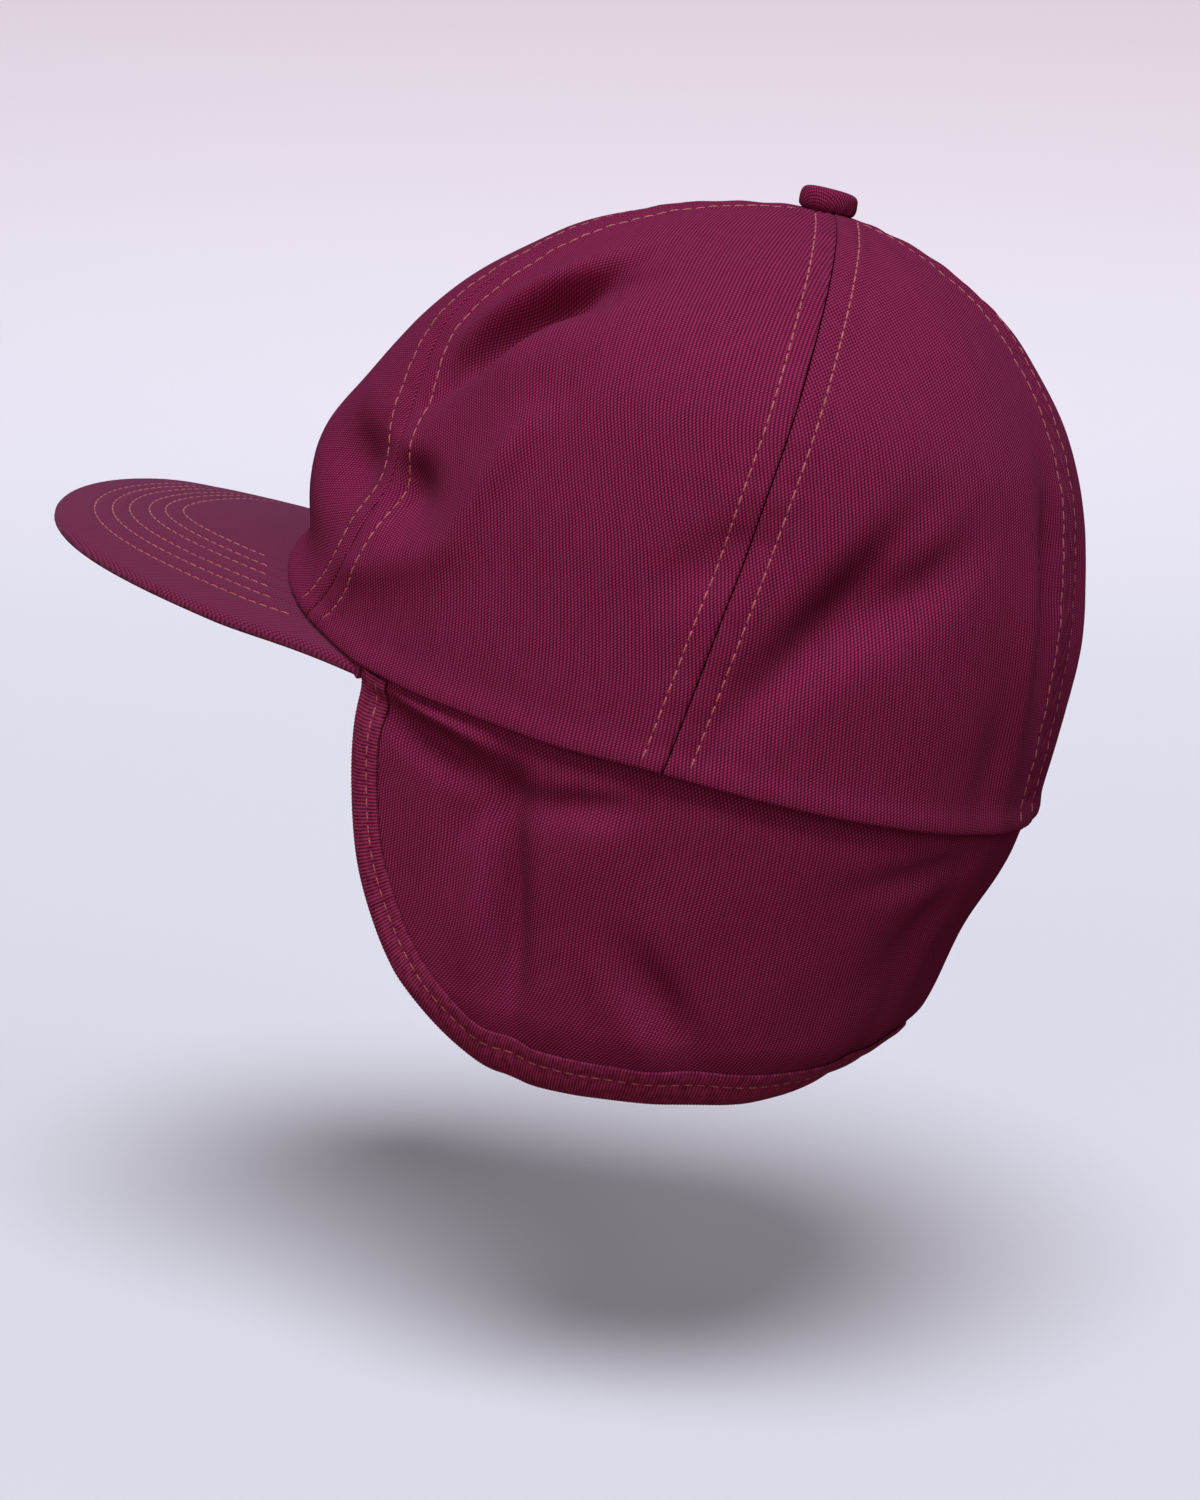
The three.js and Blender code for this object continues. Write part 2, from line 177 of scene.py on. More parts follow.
# %% Colours and nodes
def linear(code):
    """An sRGB hex colour as linear RGBA: a straight foot, then a power of 2.4."""
    srgb = np.array([int(code[i:i + 2], 16) for i in (1, 3, 5)]) / 255
    return (*np.where(srgb <= 0.04045, srgb / 12.92, ((srgb + 0.055) / 1.055) ** 2.4), 1)


def add_node(tree, kind, inputs=(), **settings):
    """Adds a node; an input that is a socket becomes a link, and any other is its value."""
    node = tree.nodes.new(kind)
    for key, value in settings.items():
        setattr(node, key, value)
    for key, value in dict(inputs).items():
        if isinstance(value, bpy.types.NodeSocket):
            tree.links.new(value, node.inputs[key])
        else:
            node.inputs[key].default_value = value
    return node


def new_material(name, finish):
    """A material with its node tree and its shader, whose sockets take the values of the finish."""
    material = bpy.data.materials.new(name)
    material.use_nodes = True
    shader = material.node_tree.nodes["Principled BSDF"]
    for socket, value in finish.items():
        shader.inputs[socket].default_value = value
    return material, material.node_tree, shader


def cosine_wave(tree, place, across, along):
    """Cosine over the cloth, with so many waves for each millimetre across it and along it."""
    turn = (2 * np.pi * across, 2 * np.pi * along, 0)
    phase = add_node(tree, "ShaderNodeVectorMath", {0: place, 1: turn}, operation="DOT_PRODUCT")
    return add_node(tree, "ShaderNodeMath", {0: phase.outputs["Value"]}, operation="COSINE").outputs[0]


print("middle grey is", round(linear("#808080")[0], 3), "in linear light")

# %% Twill weave
RIB = 0.83  # mm between ribs
DOT = 0.70  # mm between floats along a rib
RIB_SHIFT = 0.57  # share of a float by which the next rib is shifted
WEAVE_WAVES = [
    {"across": 1 / RIB, "along": 0, "weight": 0.42},
    {"across": RIB_SHIFT / RIB, "along": -1 / DOT, "weight": 0.38},
    {"across": (1 - RIB_SHIFT) / RIB, "along": 1 / DOT, "weight": 0.2},
]
WEAVE_CONTRAST = 0.85
WEAVE_BUMP = 0.00006  # metres
DRIFT_SCALE = 0.11  # for each mm, so a wander takes about a centimetre
DRIFT_REACH = 0.3  # mm
SLUB_SCALE = (0.6, 0.15, 1)  # for each mm, across and along the ribs
SLUB_CONTRAST = 0.2
SLUB_TONE = 0.4


def cotton_twill(name, gap, thread, deep, bloom, fuzz):
    """Woven cotton: dark gaps, lighter threads, the deep colour as painted shade in creases, and a bloom of
    loose fibres.
    """
    material, tree, shader = new_material(name, {
        "Roughness": 0.85,
        "Specular IOR Level": 0,
        "Sheen Weight": fuzz,
        "Sheen Roughness": 0.7,
        "Sheen Tint": linear(bloom),
    })
    place = add_node(tree, "ShaderNodeUVMap", uv_map="cloth").outputs["UV"]
    # The threads wander a little, so that the ribs are never quite straight.
    inputs = {"Vector": place, "Scale": DRIFT_SCALE, "Detail": 1}
    drift = add_node(tree, "ShaderNodeTexNoise", inputs).outputs["Color"]
    inputs = {0: drift, "Scale": DRIFT_REACH}
    drift = add_node(tree, "ShaderNodeVectorMath", inputs, operation="SCALE").outputs[0]
    place = add_node(tree, "ShaderNodeVectorMath", {0: place, 1: drift}, operation="ADD").outputs[0]
    weave = 0.0
    for wave in WEAVE_WAVES:
        swing = cosine_wave(tree, place, wave["across"], wave["along"])
        inputs = {0: swing, 1: wave["weight"], 2: weave}
        weave = add_node(tree, "ShaderNodeMath", inputs, operation="MULTIPLY_ADD").outputs[0]
    # Thick and thin places in the yarn run along the ribs.
    yarn = add_node(tree, "ShaderNodeMapping", {"Vector": place, "Scale": SLUB_SCALE}).outputs[0]
    slub = add_node(tree, "ShaderNodeTexNoise", {"Vector": yarn, "Scale": 1, "Detail": 2}).outputs["Fac"]
    inputs = {0: slub, 1: SLUB_CONTRAST, 2: SLUB_TONE}
    tone = add_node(tree, "ShaderNodeMath", inputs, operation="MULTIPLY_ADD").outputs[0]
    inputs = {0: weave, 1: WEAVE_CONTRAST, 2: tone}
    tone = add_node(tree, "ShaderNodeMath", inputs, operation="MULTIPLY_ADD").outputs[0]
    inputs = {"Factor": tone, "A": linear(gap), "B": linear(thread)}
    colour = add_node(tree, "ShaderNodeMix", inputs, data_type="RGBA").outputs["Result"]
    # Painted shade: the colour is darkened where the cloth turns under a fold, so that creases look deeper.
    painted_crease_shade = add_node(tree, "ShaderNodeAttribute", attribute_name="painted_crease_shade").outputs["Fac"]
    inputs = {"Factor": painted_crease_shade, "A": colour, "B": linear(deep)}
    colour = add_node(tree, "ShaderNodeMix", inputs, data_type="RGBA", blend_type="MULTIPLY")
    tree.links.new(colour.outputs["Result"], shader.inputs["Base Color"])
    bump = add_node(tree, "ShaderNodeBump", {"Height": weave, "Strength": 0.6, "Distance": WEAVE_BUMP})
    tree.links.new(bump.outputs[0], shader.inputs["Normal"])
    return material


# %% Twill of the crown and of the peak
CREASE_SHADE_TINT = "#ba7490"  # painted shade: multiplies the colour where the cloth turns under a fold
FIBRE_BLOOM = "#d6c6f0"

# Soft cloth: matt, with gaps dark enough that the eye picks out every rib.
twill = cotton_twill("cotton_twill_burgundy", gap="#3e0017", thread="#923058",
                     deep=CREASE_SHADE_TINT, bloom=FIBRE_BLOOM, fuzz=0.02)
# The same cloth pulled over a board: its ribs show less, and rubbed fibres give it a paler bloom.
peak_twill = cotton_twill("cotton_twill_peak", gap="#45041f", thread="#7c2546",
                          deep=CREASE_SHADE_TINT, bloom=FIBRE_BLOOM, fuzz=0.12)
print("twill ribs", RIB, "mm apart")

# %% [markdown]
# ## Sewing thread
# The seams are topstitched in rust-pink polyester thread. A painted line would look flat, because each
# stitch is short and lies in a dimple of the cloth. So a stitch is a small bent capsule, and all the
# capsules of a run are one array: sections along each stitch, corners round each section.

# %% Polyester thread
PLY_ALONG = 0.6  # mm from ply to ply along the thread
PLY_ROUND = 1.6  # mm round it
PLY_CONTRAST = 0.25


def polyester_thread(name, shade, light):
    """Twisted filament: a cosine wave leans over the thread, and noise makes it patchy."""
    material, tree, shader = new_material(name, {"Roughness": 0.55, "Sheen Weight": 0.15})
    place = add_node(tree, "ShaderNodeUVMap", uv_map="cloth").outputs["UV"]
    ply = cosine_wave(tree, place, 1 / PLY_ALONG, 1 / PLY_ROUND)
    inputs = {"Vector": place, "Scale": 0.35, "Detail": 1}
    mottle = add_node(tree, "ShaderNodeTexNoise", inputs).outputs["Fac"]
    inputs = {0: ply, 1: PLY_CONTRAST, 2: mottle}
    tone = add_node(tree, "ShaderNodeMath", inputs, operation="MULTIPLY_ADD").outputs[0]
    inputs = {"Factor": tone, "A": linear(shade), "B": linear(light)}
    colour = add_node(tree, "ShaderNodeMix", inputs, data_type="RGBA")
    tree.links.new(colour.outputs["Result"], shader.inputs["Base Color"])
    return material


# Smooth filament: a slight gloss, and light and dark plies that make each stitch look twisted.
rust_thread = polyester_thread("polyester_thread_rust", shade="#80343b", light="#c86c68")

# %% Stitches
STITCH_PITCH = 3.2  # mm
STITCH_LENGTH = 2.8
THREAD_RADIUS = 0.2
THREAD_FLATNESS = 0.8  # height of the thread's section for its width
THREAD_SIDES = 6
STITCH_SECTIONS = np.array([-1, -0.8, -0.4, 0.4, 0.8, 1])  # places along half a stitch
STITCH_LIFT = 0.13  # mm by which the middle of a stitch stands up
STITCH_SINK = 0.45  # mm by which its ends dive into the cloth
STITCH_TAPER = 0.8


def stitch_run(path, out, offset=0.0):
    """Points of every stitch along a path: ends dive and taper by the sixth power of the reach."""
    place = steps(path[:, None], 0)[:, 0]
    count = int((place[-1] - STITCH_LENGTH - offset) / STITCH_PITCH)
    reach = STITCH_SECTIONS
    start = offset + STITCH_LENGTH / 2 + np.arange(count)[:, None] * STITCH_PITCH
    at = start + reach * STITCH_LENGTH / 2
    middle, up = (np.stack([np.interp(at, place, values[:, axis]) for axis in range(3)], -1)
                  for values in (path, out))
    along = np.gradient(middle, axis=1)
    along /= np.linalg.norm(along, axis=-1, keepdims=True)
    aside = np.cross(up, along)
    thick = THREAD_RADIUS * np.sqrt(1 - STITCH_TAPER * reach ** 6)[:, None]
    middle = middle + up * (STITCH_LIFT - STITCH_SINK * reach ** 6)[:, None]
    turn = np.radians(np.arange(THREAD_SIDES) * 360 / THREAD_SIDES)
    height = THREAD_FLATNESS * np.sin(turn)[:, None] * up[:, :, None]
    ring = np.cos(turn)[:, None] * aside[:, :, None] + height
    return middle[:, :, None] + thick[:, None] * ring


print("stitches", STITCH_LENGTH, "mm long, one every", STITCH_PITCH, "mm")

# %% Piece of stitches
SIDE_LENGTH = 0.26  # mm of cloth coordinate from one corner of the thread to the next
STITCH_CHANGE = 7.3  # mm of cloth coordinate from one stitch to the next, so that none look alike


def stitch_piece(name, runs):
    """One piece from many runs of stitches, each stitch closed by a flat cap at both ends."""
    points = np.concatenate(runs)
    count, sections, sides = points.shape[:3]
    index = np.arange(count * sections * sides).reshape(count, sections, sides)
    turned = np.roll(index, -1, axis=2)
    tubes = quads(index[:, :-1], turned[:, :-1], turned[:, 1:], index[:, 1:])
    caps = np.concatenate([index[:, 0, ::-1], index[:, -1]])
    along = np.linspace(0, STITCH_LENGTH, sections)
    round_it = np.arange(sides) * SIDE_LENGTH
    uv = np.stack(np.broadcast_arrays(along[:, None], round_it), -1) + np.zeros((count, 1, 1, 2))
    uv = uv + (np.arange(count) * STITCH_CHANGE)[:, None, None, None]
    print(count, "stitches")
    return mesh_piece(name, points.reshape(-1, 3), [tubes, caps], uv.reshape(-1, 2), rust_thread)


# %% [markdown]
# ## Shape of the crown
# A worn crown is a rounded box of cloth. It could be sculpted, but a formula keeps it true to the
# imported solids. Its level sections are rounded squares about an axis that leans back. A point is
# named by its azimuth from the front and its share of the way up, and its height follows a sine, so
# that rows are even over the round top. The rim rides up on the peak in front, wavers a little at
# the sides and dips at the back.

# %% Smooth curves
def smooth_curve(x, y):
    """A cubic through a table; each slope is the harmonic mean of two chords, so it can't overshoot."""
    x, y = np.asarray(x, float), np.asarray(y, float)
    chord = np.diff(y) / np.diff(x)
    before, after = np.insert(chord, 0, chord[0]), np.append(chord, chord[-1])
    same = before * after > 0
    slope = np.where(same, 2 * before * after / np.where(same, before + after, 1), 0)

    def at(place):
        """Eases between two rows of the table and adds the slope of each."""
        i = np.clip(np.searchsorted(x, place, side="right") - 1, 0, len(x) - 2)
        span = x[i + 1] - x[i]
        s = np.clip((place - x[i]) / span, 0, 1)
        ease = y[i] + (y[i + 1] - y[i]) * s * s * (3 - 2 * s)
        return ease + s * (1 - s) * span * ((1 - s) * slope[i] - s * slope[i + 1])

    return at


def smoothstep(value, start, end):
    """Nought before start, one after end, and 3 s squared less 2 s cubed between them."""
    s = np.clip((value - start) / (end - start), 0, 1)
    return s * s * (3 - 2 * s)


print("a quarter of the way, smoothstep gives", smoothstep(0.25, 0, 1))

# %% Level sections of the crown
GAP = 0.3  # mm between pieces that meet
CLOTH = 1.6  # mm of wall
CROWN_HEIGHT = 129.3
CROWN_LEAN = 15.7  # mm by which the top stands behind the middle of the rim
CROWN_SQUARENESS = 2.25
CROWN_SECTIONS = {
    "height": [0, 0.3, 0.6, 0.85, 1],
    "front": [102, 104.3, 90.8, 62.7, 0],
    "side": [82.5, 81, 75, 50, 0],
    "back": [105, 98.2, 83.6, 55.9, 0],
}
reach_square = {side: smooth_curve(CROWN_SECTIONS["height"], np.square(CROWN_SECTIONS[side]))
                for side in ("front", "side", "back")}


def section_point(azimuth, z):
    """Rounded square: radius to the minus n is the sum of both directions' shares to the n."""
    height = np.clip(z / CROWN_HEIGHT, 0, 1)
    front, side, back = (np.sqrt(np.maximum(curve(height), 1e-9)) for curve in reach_square.values())
    across, ahead = np.sin(np.radians(azimuth)), np.cos(np.radians(azimuth))
    shares = [np.abs(across / side), np.abs(ahead / np.where(ahead > 0, front, back))]
    radius = sum(share ** CROWN_SQUARENESS for share in shares) ** (-1 / CROWN_SQUARENESS)
    return np.stack(np.broadcast_arrays(radius * across, CROWN_LEAN * height - radius * ahead, z), -1)


print("crown rim half width", CROWN_SECTIONS["side"][0], "mm, height", CROWN_HEIGHT, "mm")

# %% Rim on the peak
PEAK_CORNER = 60.6  # azimuth where the peak meets the rim
PEAK_ARCH = 13.6
PEAK_RISE = 5.4
PEAK_DROOP = 6.5
RIM_DIP = {"azimuth": [60, 76, 98, 118, 150, 166, 180], "dip": [0, 1, 1, -0.5, 0, 0.9, 1.8]}

peak_corner = section_point(PEAK_CORNER, 0.0)
rim_dip = smooth_curve(RIM_DIP["azimuth"], RIM_DIP["dip"])


def peak_top(x, y):
    """Height of the peak: a parabola across, with a lift and a droop towards the front."""
    ahead = (peak_corner[1] - y) / 100
    return PEAK_ARCH * (1 - (x / peak_corner[0]) ** 2) + PEAK_RISE * ahead - PEAK_DROOP * ahead ** 2


def from_front(azimuth):
    """Degrees from the front on either side: the far half of the turn is mirrored."""
    return np.abs(np.where(azimuth > 180, 360 - azimuth, azimuth))


def rim_height(azimuth):
    """Height of the rim: a gap above the peak in front, less the dip of the cloth elsewhere."""
    rim = section_point(azimuth, 0 * azimuth)
    place = from_front(azimuth)
    seat = np.where(place < 90, np.maximum(peak_top(rim[..., 0], rim[..., 1]), 0), 0)
    return GAP + seat - rim_dip(place)


print(f"rim stands {rim_height(np.zeros(1))[0]:.1f} mm up at the front")

# %% Surface of the crown
CROWN_STEP = (0.01, 1e-4)  # degrees and share of the way up


def crown_shape(azimuth, up):
    """Point of the plain crown: the height climbs from the rim by the sine of the share."""
    rim = rim_height(azimuth)
    return section_point(azimuth, rim + (CROWN_HEIGHT - rim) * np.sin(up * np.pi / 2))


def axis_radius(point):
    """Level distance of a point from the crown's leaning axis."""
    return np.hypot(point[..., 0], point[..., 1] - CROWN_LEAN * point[..., 2] / CROWN_HEIGHT)


def outward(surface, a, b, step_a, step_b):
    """Normal of a surface, as the cross product of small steps round it and up it."""
    here = surface(a, b)
    normal = np.cross(surface(a + step_a, b) - here, surface(a, b + step_b) - here)
    return normal / np.linalg.norm(normal, axis=-1, keepdims=True)


half_way = crown_shape(np.array([90.0]), np.array([0.5]))
print(f"half way up, the side stands {axis_radius(half_way)[0]:.1f} mm from the axis")

# %% [markdown]
# ## Folds in the crown's cloth
# Worn cloth keeps soft dents and creases: two short dents on either side of the front seam, a long
# crease that climbs behind it, and leaning folds towards the back. A cloth simulation would give
# other folds than these, so each is a row of a table: a bell-shaped trough, or a ridge where its
# depth is negative, with a middle, a lean, a length and a width. Every point also carries a share
# of painted shade, which darkens the cloth where it turns under a fold.

# %% Table of folds
FOLD_RADIUS = 86  # mm, to turn degrees of the crown into lengths
MERIDIAN = 165  # mm from the rim to the top
FOLD_COLUMNS = ("azimuth", "place", "lean", "length", "width", "depth")
CROWN_FOLDS = [
    # Hollow and swell of the front panel above the peak.
    (20, 0.055, 90, 24, 5, 3.4),
    (22, 0.19, 90, 24, 9, -1.6),
    # Dents beside the front seam, and the broad hollow that the seam runs through.
    (56, 0.212, 98, 7.5, 4.4, 5.4),
    (41, 0.2, 100, 10, 5.4, 5.8),
    (46, 0.36, -4, 19, 8.5, 4.6),
    (60, 0.3, 8, 16, 9, 2.4),
    # Crease that climbs behind the seam, with the ridge in front of it and its branch above.
    (57.6, 0.472, 27, 14.5, 3.5, 8),
    (51.8, 0.51, 27, 14, 3.8, -2.2),
    (66, 0.548, 60, 10, 4, 3.6),
    # Ridges and a shallow dip on the side panel, and the ridge that carries the seam.
    (59, 0.125, 62, 16, 4.5, -2.4),
    (72.5, 0.285, 12, 15, 3.5, -2.6),
    (75.5, 0.405, 40, 7, 5, 2.2),
    (50, 0.205, 10, 8, 4, -1.4),
    # Leaning folds on both sides of the rear seam.
    (114, 0.253, 54, 10, 4.5, 2.2),
    (132.3, 0.215, 28, 16, 4.2, 5.8),
    (141.5, 0.256, 47, 12, 4, 4.2),
    # Ridge and dips beside the back seam.
    (167, 0.21, -8, 18, 3.4, -1.6),
    (171.5, 0.3, -4, 14, 3.4, 3.6),
    (165, 0.085, -10, 9, 3.6, 1.8),
]
print(len(CROWN_FOLDS), "folds in the crown")

# %% Folded cloth
SHADE_REACH = 4  # mm down the cloth to the place compared for the painted shade
SHADE_RANGE = (0.1, 3.4)  # mm of extra depth there, from no painted shade to full painted shade
PEAK_SEAT = 0.03  # share of the way up within which the cloth rests on the peak


def fold_depth(folds, azimuth, up, radius):
    """Sum of bell-shaped troughs, each stretched along its own leaning line."""
    depth = 0.0
    for row in folds:
        fold = dict(zip(FOLD_COLUMNS, row))
        lean = np.radians(fold["lean"])
        round_it = np.radians(from_front(azimuth) - fold["azimuth"]) * radius
        climb = up - fold["place"]
        along = (round_it * np.sin(lean) + climb * np.cos(lean)) / fold["length"]
        aside = (round_it * np.cos(lean) - climb * np.sin(lean)) / fold["width"]
        depth = depth + fold["depth"] * np.exp(-0.5 * (along ** 2 + aside ** 2))
    return depth


def crown_fold_depth(azimuth, up):
    """Depth of the crown's folds, with shares of the way up turned into lengths."""
    folds = [(row[0], row[1] * MERIDIAN, *row[2:]) for row in CROWN_FOLDS]
    return fold_depth(folds, azimuth, up * MERIDIAN, FOLD_RADIUS)


def crease_shade_share(above, below):
    """Share of painted crease shade: how much deeper the folds are just below it."""
    return smoothstep(below - above, *SHADE_RANGE)


def crown_cloth(azimuth, up, inset, relief=0.0):
    """The crown's shape, moved in along its normal by folds and inset, and out by relief."""
    normal = outward(crown_shape, azimuth, up, *CROWN_STEP)
    depth = crown_fold_depth(azimuth, up) + inset - relief
    point = crown_shape(azimuth, up) - normal * depth[..., None]
    floor = peak_top(point[..., 0], point[..., 1]) + GAP
    on_peak = (from_front(azimuth) < 90) & (up < PEAK_SEAT)
    point[..., 2] = np.where(on_peak, np.maximum(point[..., 2], floor), point[..., 2])
    return point


crease = crown_fold_depth(np.array([57.6]), np.array([0.472]))[0]
print(f"the crease behind the front seam is {crease:.1f} mm deep")

# %% [markdown]
# ## Sewing in the crown's cloth
# Sewing adds its own relief: a sharp groove at the seam, a raised band over the folded allowance, a
# dimple under each row of stitches, small puckers, and a soft roll at the hem. A bump map could draw
# them, but the low light shows them in the shape, so they move the cloth's own points.

# %% Relief of the sewing
SEAM_ROW = 5.3  # mm of a stitch row from its seam
SEAM_STEP = 1e-3  # share of the way up, for slopes
FRONT_SEAMS = 80  # azimuth that parts the front seams from the others
GROOVE = {"front": 0.4, "rear": 0.8, "fade": 0.5, "width": 0.5}  # mm; the rear ones fade upwards
BAND_HEIGHT = 0.4
BAND_EDGE = (5.8, 8.5)  # mm from the seam, where the allowance below ends
DIMPLE = {"depth": 0.32, "width": 0.75}
PUCKER = {"height": 0.1, "middle": 4, "width": 4.5}
HEM_ROLL = 0.8
RIPPLE = 0.2


def seam_distance(azimuth, up, seam):
    """Millimetres from a seam: the arc of azimuth, shortened where the seam leans."""
    point = crown_shape(azimuth, up)
    radius = axis_radius(point)
    speed = np.linalg.norm(crown_shape(azimuth, up + SEAM_STEP) - point, axis=-1) / SEAM_STEP
    drift = np.radians((seam(up + SEAM_STEP) - seam(up)) / SEAM_STEP)
    lean = np.arctan(radius * drift / speed)
    return np.radians(azimuth - seam(up)) * radius * np.cos(lean)


def sewing_relief(distance, azimuth, up):
    """Height of the cloth beside a seam: bells and waves of the distance and the length along it."""
    along = up * MERIDIAN
    at_front = from_front(azimuth) < FRONT_SEAMS
    groove = -np.where(at_front, GROOVE["front"], GROOVE["rear"] - GROOVE["fade"] * up)
    groove = groove * np.exp(-(distance / GROOVE["width"]) ** 1.3)
    band = BAND_HEIGHT * (1 - smoothstep(distance, *BAND_EDGE))
    dimple = -DIMPLE["depth"] * np.exp(-((distance - SEAM_ROW) / DIMPLE["width"]) ** 2)
    # Puckers come every 8 mm or so, and a second wave of 13 mm keeps them uneven.
    wave = np.sin(along / 1.25 + 1.7 * np.sin(along / 9)) + 0.7 * np.sin(along / 2.1 + azimuth / 9)
    pucker = PUCKER["height"] * wave
    pucker = pucker * np.exp(-((distance - PUCKER["middle"]) / PUCKER["width"]) ** 2)
    # The hem's roll is fullest nearly 2 mm above the rim.
    hem = HEM_ROLL * np.exp(-((along * 1.2 - 2) / 3) ** 2)
    ripple = RIPPLE * np.sin(along / 6.3 + azimuth / 5.1) * np.sin(along / 11 - azimuth / 7.7)
    return groove + band + dimple + pucker + hem + ripple


print("stitch rows lie", SEAM_ROW, "mm from their seams")

# %% [markdown]
# ## Crown panels
# Each panel is cut flat and sewn to its neighbours along two seams, then pulled round by wearing. A
# simulation would need the cut pattern, so the panel is drawn straight in its worn form, as a grid
# between its two seams with columns packed towards them. Cloth coordinates are lengths measured along
# the grid from its middle, turned to the direction in which the cloth was cut.

# %% Seams
REAR_SEAM = 117.8  # azimuth
FRONT_SEAM = {
    "up": [0, 0.11, 0.24, 0.31, 0.44, 0.65, 1],
    "azimuth": [45.5, 51, 49.2, 45.2, 38.8, 36.3, 36],
}


def straight_seam(azimuth):
    """A seam that keeps one azimuth all the way up."""
    return lambda up: azimuth + 0 * up


def mirrored(seam, turn=360):
    """The same seam on the other side: its azimuth taken from a full turn, or from nought."""
    return lambda up: turn - seam(up)


front_seam_left = smooth_curve(FRONT_SEAM["up"], FRONT_SEAM["azimuth"])
front_seam_right = mirrored(front_seam_left, 0)
front_seam_far = mirrored(front_seam_left)
rear_seam_left = straight_seam(REAR_SEAM)
rear_seam_right = mirrored(rear_seam_left)
back_seam = straight_seam(180)
print("front seams run from", FRONT_SEAM["azimuth"][0], "to", FRONT_SEAM["azimuth"][-1], "degrees")

# %% One panel
PANEL_COLUMNS = 112
PANEL_ROWS = 132
CROWN_TOP = 0.975  # share of the way up where the panels end under the button
HEM_TURNS = np.radians([8, 25, 45, 65, 85])
HEM_END = 0.006  # share of the way up where the round hem is over
RIM_CLIMB = 203  # mm of height at the rim for a whole share of the way up
SEAM_PACKING = 0.86


def grain_turn(u, v, grain):
    """Turns cloth lengths so that the ribs lean from the grid's upright by the grain angle."""
    turn = np.radians(grain)
    return np.stack([u * np.cos(turn) + v * np.sin(turn), v * np.cos(turn) - u * np.sin(turn)], -1)


def panel_grid(start, end):
    """Azimuth, share up and hem share of a panel; a sine packs the columns towards its seams."""
    hem = (1 - np.cos(HEM_TURNS)) * CLOTH / 2 / RIM_CLIMB
    lift = np.concatenate([hem, np.linspace(HEM_END, CROWN_TOP, PANEL_ROWS)])
    turned = np.concatenate([np.sin(HEM_TURNS), np.ones(PANEL_ROWS)])
    spread = np.linspace(0, 1, PANEL_COLUMNS)
    across = spread - SEAM_PACKING * np.sin(2 * np.pi * spread) / (2 * np.pi)
    across, up = np.meshgrid(across, lift, indexing="ij")
    middle = (start(up) + end(up)) / 2
    margin = np.degrees(GAP / 2 / axis_radius(crown_shape(middle, up)))
    return start(up) + margin + (end(up) - start(up) - 2 * margin) * across, up, turned


def crown_panel(name, start, end, grain, node, rests_on):
    """One panel's wall between its two seams."""
    azimuth, up, turned = panel_grid(start, end)
    distance = np.minimum(*(np.abs(seam_distance(azimuth, up, seam)) for seam in (start, end)))
    relief = sewing_relief(distance, azimuth, up)
    outer = crown_cloth(azimuth, up, CLOTH / 2 * (1 - turned), relief * turned)
    inner = crown_cloth(azimuth, up, CLOTH / 2 * (1 + turned))
    plain = crown_cloth(azimuth, up, np.zeros_like(up))
    round_it, climb = steps(plain, 0), steps(plain, 1)
    half = PANEL_COLUMNS // 2
    uv = grain_turn(round_it - round_it[half], climb[half] + 0 * climb, grain)
    # Painted shade: cloth that turns under a fold is darkened in colour.
    below = crown_fold_depth(azimuth, up - SHADE_REACH / MERIDIAN)
    painted_crease_shade = crease_shade_share(crown_fold_depth(azimuth, up), below)
    piece = wall_piece(name, outer, inner, uv, twill, [node], painted_crease_shade)


# %% Five panels
PANELS = [
    ("twill_front_panel", front_seam_right, front_seam_left, 0, "crown_front_panel", ["peak"]),
    ("twill_side_panel_left", front_seam_left, rear_seam_left, 21, "crown_side_panel_left", ["ear_flap"]),
    ("twill_back_panel_left", rear_seam_left, back_seam, 13, "crown_back_panel_left", ["ear_flap"]),
    ("twill_back_panel_right", back_seam, rear_seam_right, -13, "crown_back_panel_right", ["ear_flap"]),
    ("twill_side_panel_right", rear_seam_right, front_seam_far, -21, "crown_side_panel_right", ["ear_flap"]),
]
for panel in PANELS:
    crown_panel(*panel)

# %% Topstitching of the crown
ROW_SPAN = (0.012, 0.955)  # shares of the way up


def seam_row(seam, side):
    """Path and normals of a row of stitches beside a seam: side is 1 or -1 for after or before it."""
    up = np.linspace(*ROW_SPAN, 400)
    azimuth = seam(up)
    azimuth = azimuth + side * SEAM_ROW / np.abs(seam_distance(azimuth + side, up, seam))
    relief = sewing_relief(np.full_like(up, SEAM_ROW), azimuth, up)
    path = crown_cloth(azimuth, up, np.zeros_like(up), relief)
    return path, outward(crown_shape, azimuth, up, *CROWN_STEP)


seams = [front_seam_left, front_seam_right, rear_seam_left, rear_seam_right, back_seam]
crown_runs = [stitch_run(*seam_row(seam, side), 0.6 + 0.4 * side) for seam in seams for side in (1, -1)]
stitch_piece("crown_topstitching", crown_runs)

# %% [markdown]
# ## Covered button
# A round of twill is drawn tight over a button mould, so its edge gathers underneath. A lathe would give
# the plain mould; here its profile is carried round as a grid, and its lower half swells and sinks in
# gathers.

# %% Covered button
BUTTON_RADIUS = 7.3  # mm
BUTTON_HEIGHT = 5.9
BUTTON_AHEAD = 1.8  # mm in front of the crown's axis
BUTTON_PROFILE = {
    "radius": [0.8, 0.95, 1.0, 0.985, 0.9, 0.7, 0.4, 0.002],
    "height": [0, 0.16, 0.42, 0.66, 0.86, 0.955, 0.99, 1.0],
}
BUTTON_COLUMNS = 96
BUTTON_ROWS = 40
GATHERS = 17
GATHER_DEPTH = 0.22
GATHER_FADE = (0.1, 0.6)  # shares of the height


